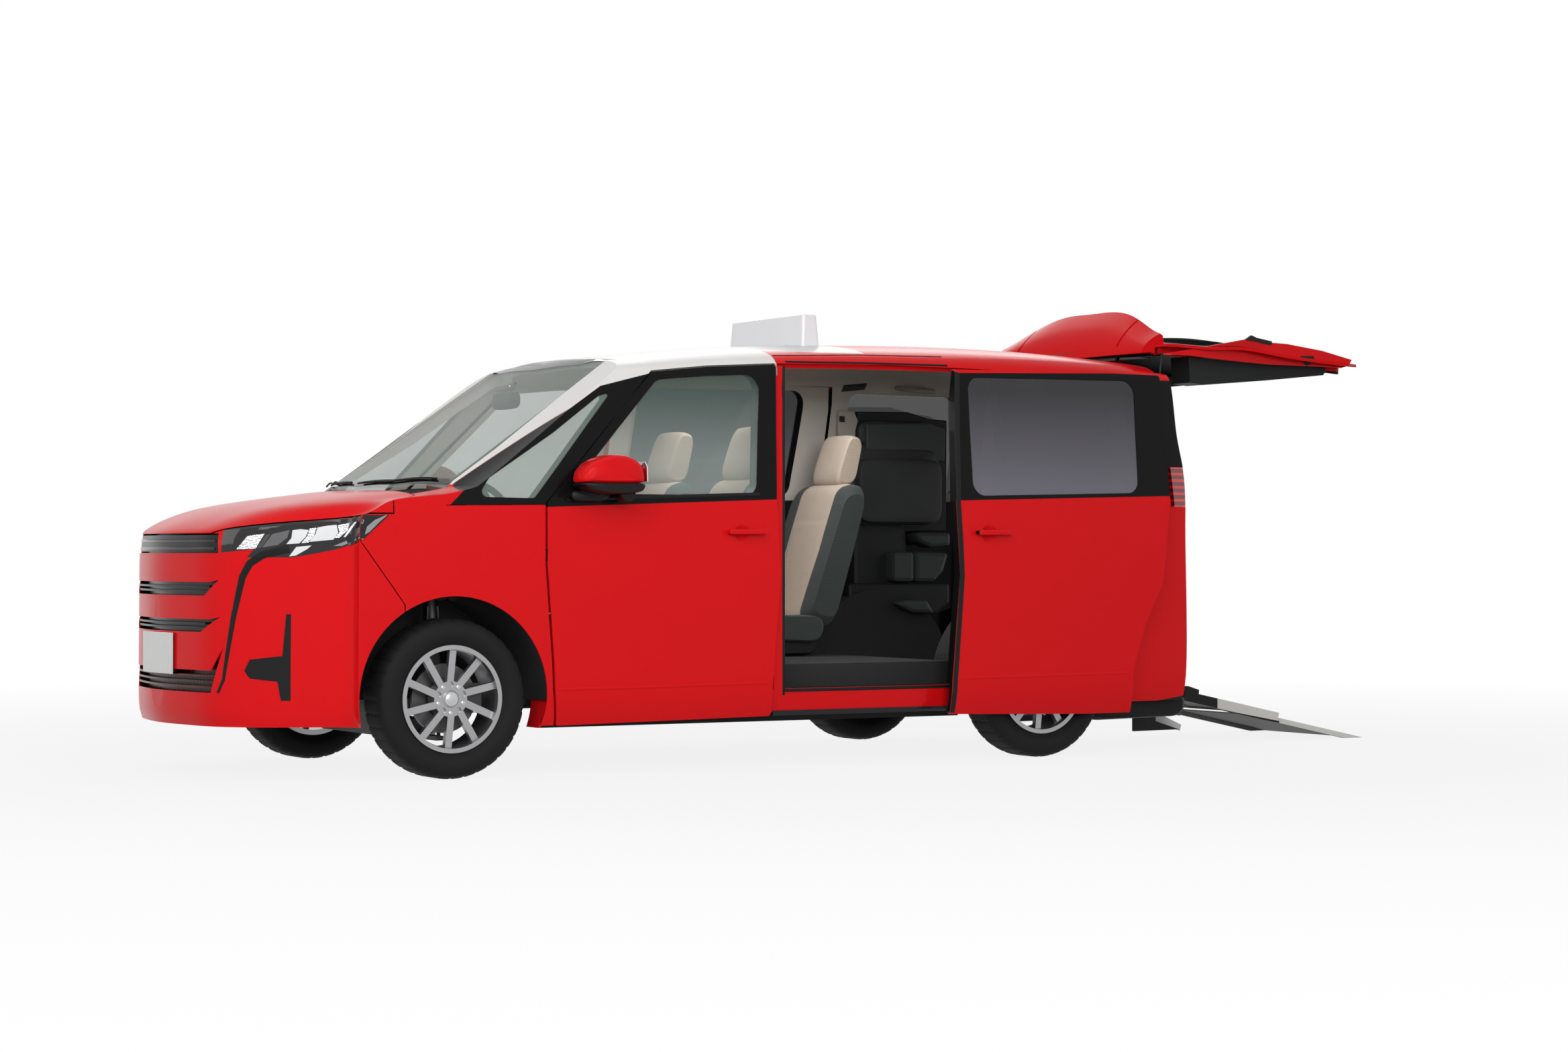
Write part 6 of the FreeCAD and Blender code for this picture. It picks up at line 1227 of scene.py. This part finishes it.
def make_pillar():
    """Painted strip of the middle pillar behind the front door, with its rubber seal."""
    door = Carrier("front_door_left", "front_door_glass_left")
    strip = []
    seal = []
    for row in PILLAR_ROWS:
        height = EYE.z + (FRAME_HEIGHT / 2 - row) / FOCAL * PILLAR_AWAY + PILLAR_RAISED
        spot, _ = door.left(PILLAR_Y, min(max(height, PILLAR_LOW), PILLAR_HIGH))
        near = on_plane(PILLAR_LEFT, row, spot.x - PILLAR_STEP)
        far = on_plane(PILLAR_RIGHT, row, spot.x - PILLAR_STEP)
        depth = Vector((0.05, 0, 0))
        strip += [near, far, far - depth, near - depth]
        seal.append(far + Vector((-0.006, 0.006, 0)))
    add_mesh("pillar_strip", strip, skin(len(PILLAR_ROWS), 4), layered("lacquer_pillar"), "body", "paint_red",
             False)
    tube("pillar_edge", seal, 0.009, plastic("pillar_rubber", RUBBER, 0.6))


RAMP_CORNER = (1690.0, 1000.0)
RAMP_ZOOM = 4.02
RAMP_ARM = ((325, 90), (392, 113), (388, 150), (370, 160), (325, 172), (290, 176), (300, 150))
RAMP_BEAM = ((512, 232), (545, 236), (872, 300), (872, 312), (780, 294))
RAMP_BARS = (("deck", "ramp_main", 20, 0.36, 0.06, 0.12, "ramp_deck"),
             ("toe", "ramp_toe", 9, 0.34, 0.12, 0.18, "ramp_slider"))
RAMP_HINGE_Y = 3.606
RAMP_HINGE_Z = 0.306
RAMP_BLOCK = ((0, 240), (133, 248), (131, 300), (272, 350), (0, 362))


def make_ramp():
    """Bars on both decks, arms, side beams and blocks."""
    bar = metal("ramp_bars", (0.50, 0.51, 0.52), 0.35)
    black = plastic("ramp_black", BLACK, 0.5)
    for label, node, count, half, first, margin, body in RAMP_BARS:
        top = Carrier(node).top
        low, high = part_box(node)
        for index in range(count):
            y = low[1] - AXLE_Y + first + index * (high[1] - low[1] - margin) / (count - 1)
            ribbon(f"{label}_bar_{index}", ((-half, y), (half, y)), top, 0.010, 0.0025, 0.002, bar, body,
                   "ramp_aluminium", 0.2)
    for label, sign in SIDES:
        cover = [place(sign * x, RAMP_HINGE_Y, RAMP_HINGE_Z) for x in (0.30, 0.34, 0.405)]
        tube("hinge_cover_" + label, cover, 0.014, black, "ramp_deck")
    for part, outline, near, far, body in (("arm", RAMP_ARM, 0.394, 0.434, "ramp_deck"),
                                           ("beam", RAMP_BEAM, 0.390, 0.402, "ramp_deck"),
                                           ("block", RAMP_BLOCK, 0.484, 0.500, "body")):
        slab_pair("ramp_" + part, traced(outline, RAMP_CORNER, RAMP_ZOOM, far), near, far, black, body)


GATE_CORNER = (1700.0, 460.0)
GATE_ZOOM = 4.61
GATE_SIDE = 0.655
GATE_FLANGE = ((150, 310), (430, 264), (725, 210), (880, 232), (1010, 243), (1250, 290), (1452, 352),
               (1432, 392), (1380, 408), (1268, 400), (900, 385), (600, 355), (350, 325))
GATE_TRIM = ((340, 509), (330, 328), (600, 358), (900, 388), (1268, 403), (1275, 430), (1255, 458),
             (860, 494), (440, 524))
GATE_LATCH = ((1103, 325), (1195, 325), (1192, 350), (1160, 390), (1135, 390), (1103, 348))
GATE_WIPER = ((720, 215), (765, 183), (800, 200), (905, 225), (900, 250), (860, 245), (800, 228))


def make_gate():
    """Sides of the open gate: painted flange, lining, latch and wiper foot."""
    paint = layered("lacquer_flange")
    lining = plastic("gate_lining", (0.012, 0.013, 0.013), 0.6)
    for part, outline, near, far, finish, slot in (
            ("flange", GATE_FLANGE, 0.640, GATE_SIDE, paint, "paint_red"),
            ("latch", GATE_LATCH, GATE_SIDE - 0.004, GATE_SIDE + 0.004, lining, "black_plastic"),
            ("wiper_foot", GATE_WIPER, GATE_SIDE - 0.012, GATE_SIDE + 0.004, lining, "black_plastic"),
            ("lining", GATE_TRIM, 0.46, 0.60, lining, "black_plastic")):
        outline = traced(outline, GATE_CORNER, GATE_ZOOM, far)
        slab_pair("gate_" + part, outline, near, far, finish, "gate", slot)


VALANCE = ((3.16, 0.150), (3.66, 0.158), (3.70, 0.200), (3.69, 0.262), (3.20, 0.262), (3.14, 0.20))
VALANCE_X = 0.62
VALANCE_HALF = 0.17
WEDGE_HALF = 0.004
WEDGE_ROOT = (place(0, 3.66, 0.165), place(0, 3.66, 0.190))
WEDGE_PIXELS = ((1722, 1061), (1760, 1080), (1758, 1089), (1721, 1076))
WEDGE_X = 0.47


def make_valance():
    """Black panels under the rear bumper and the pale guide plate beside the ramp."""
    black = plastic("valance_black", BLACK, 0.6)
    plate = plastic("guide_plate", (0.70, 0.70, 0.70), 0.5)
    points, faces = cushion_shape(VALANCE, VALANCE_X, VALANCE_HALF, 0.03)
    add_pair("valance", points, faces, black, "body", "black_plastic")
    outline = [on_plane(across, down, WEDGE_X) for across, down in WEDGE_PIXELS]
    outline += WEDGE_ROOT
    slab_pair("guide_plate", outline, WEDGE_X - WEDGE_HALF, WEDGE_X + WEDGE_HALF, plate,
              slot="ramp_aluminium")


OPENING_CORNER = (1150.0, 520.0)
OPENING_ZOOM = 2.8
PANEL_DEPTH = 0.80
PANELS = (
    ("wall_panel", ((352, 262), (560, 264), (650, 292), (725, 300), (722, 760), (345, 768), (342, 480),
                    (352, 330)), 0.11, 0.015, "dark"),
    ("seat_frame", ((386, 312), (655, 308), (715, 330), (712, 470), (400, 466), (386, 440)),
     0.14, 0.025, "vinyl"),
    ("seat_panel", ((386, 474), (668, 474), (668, 540), (612, 598), (520, 592), (482, 600), (462, 640),
                    (400, 610), (386, 560)), 0.14, 0.030, "vinyl"),
    ("seat_tray", ((345, 650), (600, 668), (672, 600), (704, 610), (704, 736), (650, 742), (612, 706),
                   (560, 704), (528, 764), (345, 764)), 0.09, 0.030, "vinyl"),
    ("arm_pad", ((578, 766), (722, 766), (722, 822), (640, 830), (590, 806)), 0.14, 0.060, "vinyl"),
    ("store_box_left", ((482, 846), (567, 846), (567, 974), (482, 972)), 0.16, 0.070, "vinyl"),
    ("store_box_right", ((571, 846), (712, 850), (688, 930), (650, 974), (571, 974)), 0.16, 0.070, "vinyl"),
    ("arch_cover", ((300, 978), (460, 980), (722, 978), (722, 1060), (660, 1110), (420, 1088), (300, 1060)),
     0.18, 0.050, "dark"),
    ("arch_pad", ((490, 1062), (540, 1048), (626, 1048), (660, 1106), (560, 1100)), 0.24, 0.060, "vinyl"),
    ("pillar_cover", ((278, 256), (340, 262), (356, 300), (346, 340), (340, 520), (312, 480), (276, 350)),
     0.12, 0.012, "pale"),
    ("pillar_switch", ((284, 280), (304, 282), (304, 306), (284, 304)), 0.136, 0.004, "dark"),
)


def make_panels():
    """Folded seat frames, trays and covers on the cabin's side walls."""
    finishes = {"dark": plastic("panel_dark", (0.016, 0.017, 0.018), 0.5),
                "vinyl": plastic("panel_vinyl", (0.058, 0.064, 0.065), 0.42),
                "pale": plastic("panel_pale", (0.46, 0.42, 0.36), 0.5)}
    for name, outline, inset, half, finish in PANELS:
        away = PANEL_DEPTH - inset
        slab_pair(name, traced(outline, OPENING_CORNER, OPENING_ZOOM, -away), away - half, away + half,
                  finishes[finish], corner=0.3 * half)


VENT_PIXELS = ((1258, 574), (1292, 571), (1288, 581), (1254, 584))
HANDLE_PIXELS = ((1335, 578), (1345, 572), (1375, 574), (1392, 584))
HANDLE_LIFTS = (0.0, 0.035, 0.035, 0.0)


def make_cabin():
    """Vent and grab handle under the ceiling."""
    pixel = Carrier("roof", "body_side_right").pixel
    dark = plastic("vent_dark", (0.03, 0.03, 0.03), 0.5)
    pale = plastic("cabin_pale", (0.42, 0.39, 0.34), 0.55)
    patch("ceiling_vent", VENT_PIXELS, pixel, 0.004, 0.003, 3.0, dark)
    hits = [pixel(across, down) for across, down in HANDLE_PIXELS]
    path = [spot + normal * lift for (spot, normal), lift in zip(hits, HANDLE_LIFTS)]
    tube("grab_handle", path, 0.011, pale, slot="seat_fabric")


FLOOR_SIZE = 80
FLOOR_GREY = 0.50
FADE_START = 3.0
FADE_END = 9.0
FADE_LEVEL = 0.86
WORLD_LEVEL = 0.40
LIGHT_AIM = place(0, 1.5, 0.8)
LIGHTS = (("key", place(7.0, -5.0, 6.5), 5.0, 300.0), ("fill", place(10.5, -1.2, 3.2), 3.5, 340.0),
          ("nose", place(1.0, -9.0, 4.0), 4.0, 120.0), ("back", place(-6.0, 6.0, 6.0), 5.0, 160.0))
CABIN_LIGHT = place(0.0, 1.7, 1.66)
CABIN_LIGHT_SIZE = (0.7, 1.6)
CABIN_POWER = 9.0


def seen_rays(tree):
    """1 on what the camera sees, straight, mirrored or through glass, and 0 on the light that falls."""
    path = wired(tree, "LightPath", {}).outputs
    mirrored = path["Is Glossy Ray"]
    bent = wired(tree, "Math", {0: mirrored, 1: path["Is Transmission Ray"]}, operation="MAXIMUM")
    seen = wired(tree, "Math", {0: path["Is Camera Ray"], 1: bent.outputs[0]}, operation="MAXIMUM")
    return seen.outputs[0]


def make_floor():
    """Pale floor that fades into the white background."""
    bpy.ops.mesh.primitive_plane_add(size=FLOOR_SIZE, location=(0, 0, 0))
    floor = bpy.context.object
    floor.name = "floor"
    material = bpy.data.materials.new("floor_pale")
    material.use_nodes = True
    tree = material.node_tree
    tree.nodes.clear()
    coords = wired(tree, "TexCoord", {})
    reach = wired(tree, "VectorMath", {0: coords.outputs["Object"]}, operation="LENGTH")
    fade = wired(tree, "MapRange", {"Value": reach.outputs["Value"], "From Min": FADE_START,
                                    "From Max": FADE_END, "To Min": FADE_LEVEL, "To Max": 1.0})
    share = wired(tree, "Math", {0: seen_rays(tree), 1: fade.outputs[0]}, operation="MULTIPLY")
    diffuse = wired(tree, "BsdfDiffuse", {"Color": (FLOOR_GREY, FLOOR_GREY, FLOOR_GREY)})
    glow = wired(tree, "Emission", {"Strength": 1.0})
    mix = wired(tree, "MixShader", {0: share.outputs[0], 1: diffuse.outputs[0], 2: glow.outputs[0]})
    wired(tree, "OutputMaterial", {0: mix.outputs[0]})
    floor.data.materials.append(material)


def add_light(name, spot, power, size, aim=None):
    """Area light that looks at a point, or straight down."""
    data = bpy.data.lights.new(name, "AREA")
    data.energy = power
    data.size = size[0]
    if size[1] != size[0]:
        data.shape = "RECTANGLE"
        data.size_y = size[1]
    lamp = bpy.data.objects.new(name, data)
    lamp.location = spot
    if aim:
        lamp.rotation_euler = (aim - spot).to_track_quat("-Z", "Y").to_euler()
    bpy.context.collection.objects.link(lamp)


def make_stage():
    """Floor, white surroundings and lights."""
    make_floor()
    world = bpy.data.worlds.new("world")
    bpy.context.scene.world = world
    world.use_nodes = True
    tree = world.node_tree
    tree.nodes.clear()
    level = wired(tree, "MapRange", {"Value": seen_rays(tree), "To Min": WORLD_LEVEL, "To Max": 1.0})
    light = wired(tree, "Background", {"Color": (1.0, 1.0, 1.0), "Strength": level.outputs[0]})
    wired(tree, "OutputWorld", {0: light.outputs[0]})
    for name, spot, size, power in LIGHTS:
        add_light(name, spot, power, (size, size), LIGHT_AIM)
    add_light("cabin_light", CABIN_LIGHT, CABIN_POWER, CABIN_LIGHT_SIZE)
    bpy.context.scene.view_settings.view_transform = "Standard"


make_camera()
make_stage()
dress_nodes()
make_seats()
make_wheels()
make_headlamps()
make_front()
make_screen()
make_sides()
make_mirrors()
make_opening()
make_pillar()
make_ramp()
make_gate()
make_valance()
make_panels()
make_cabin()
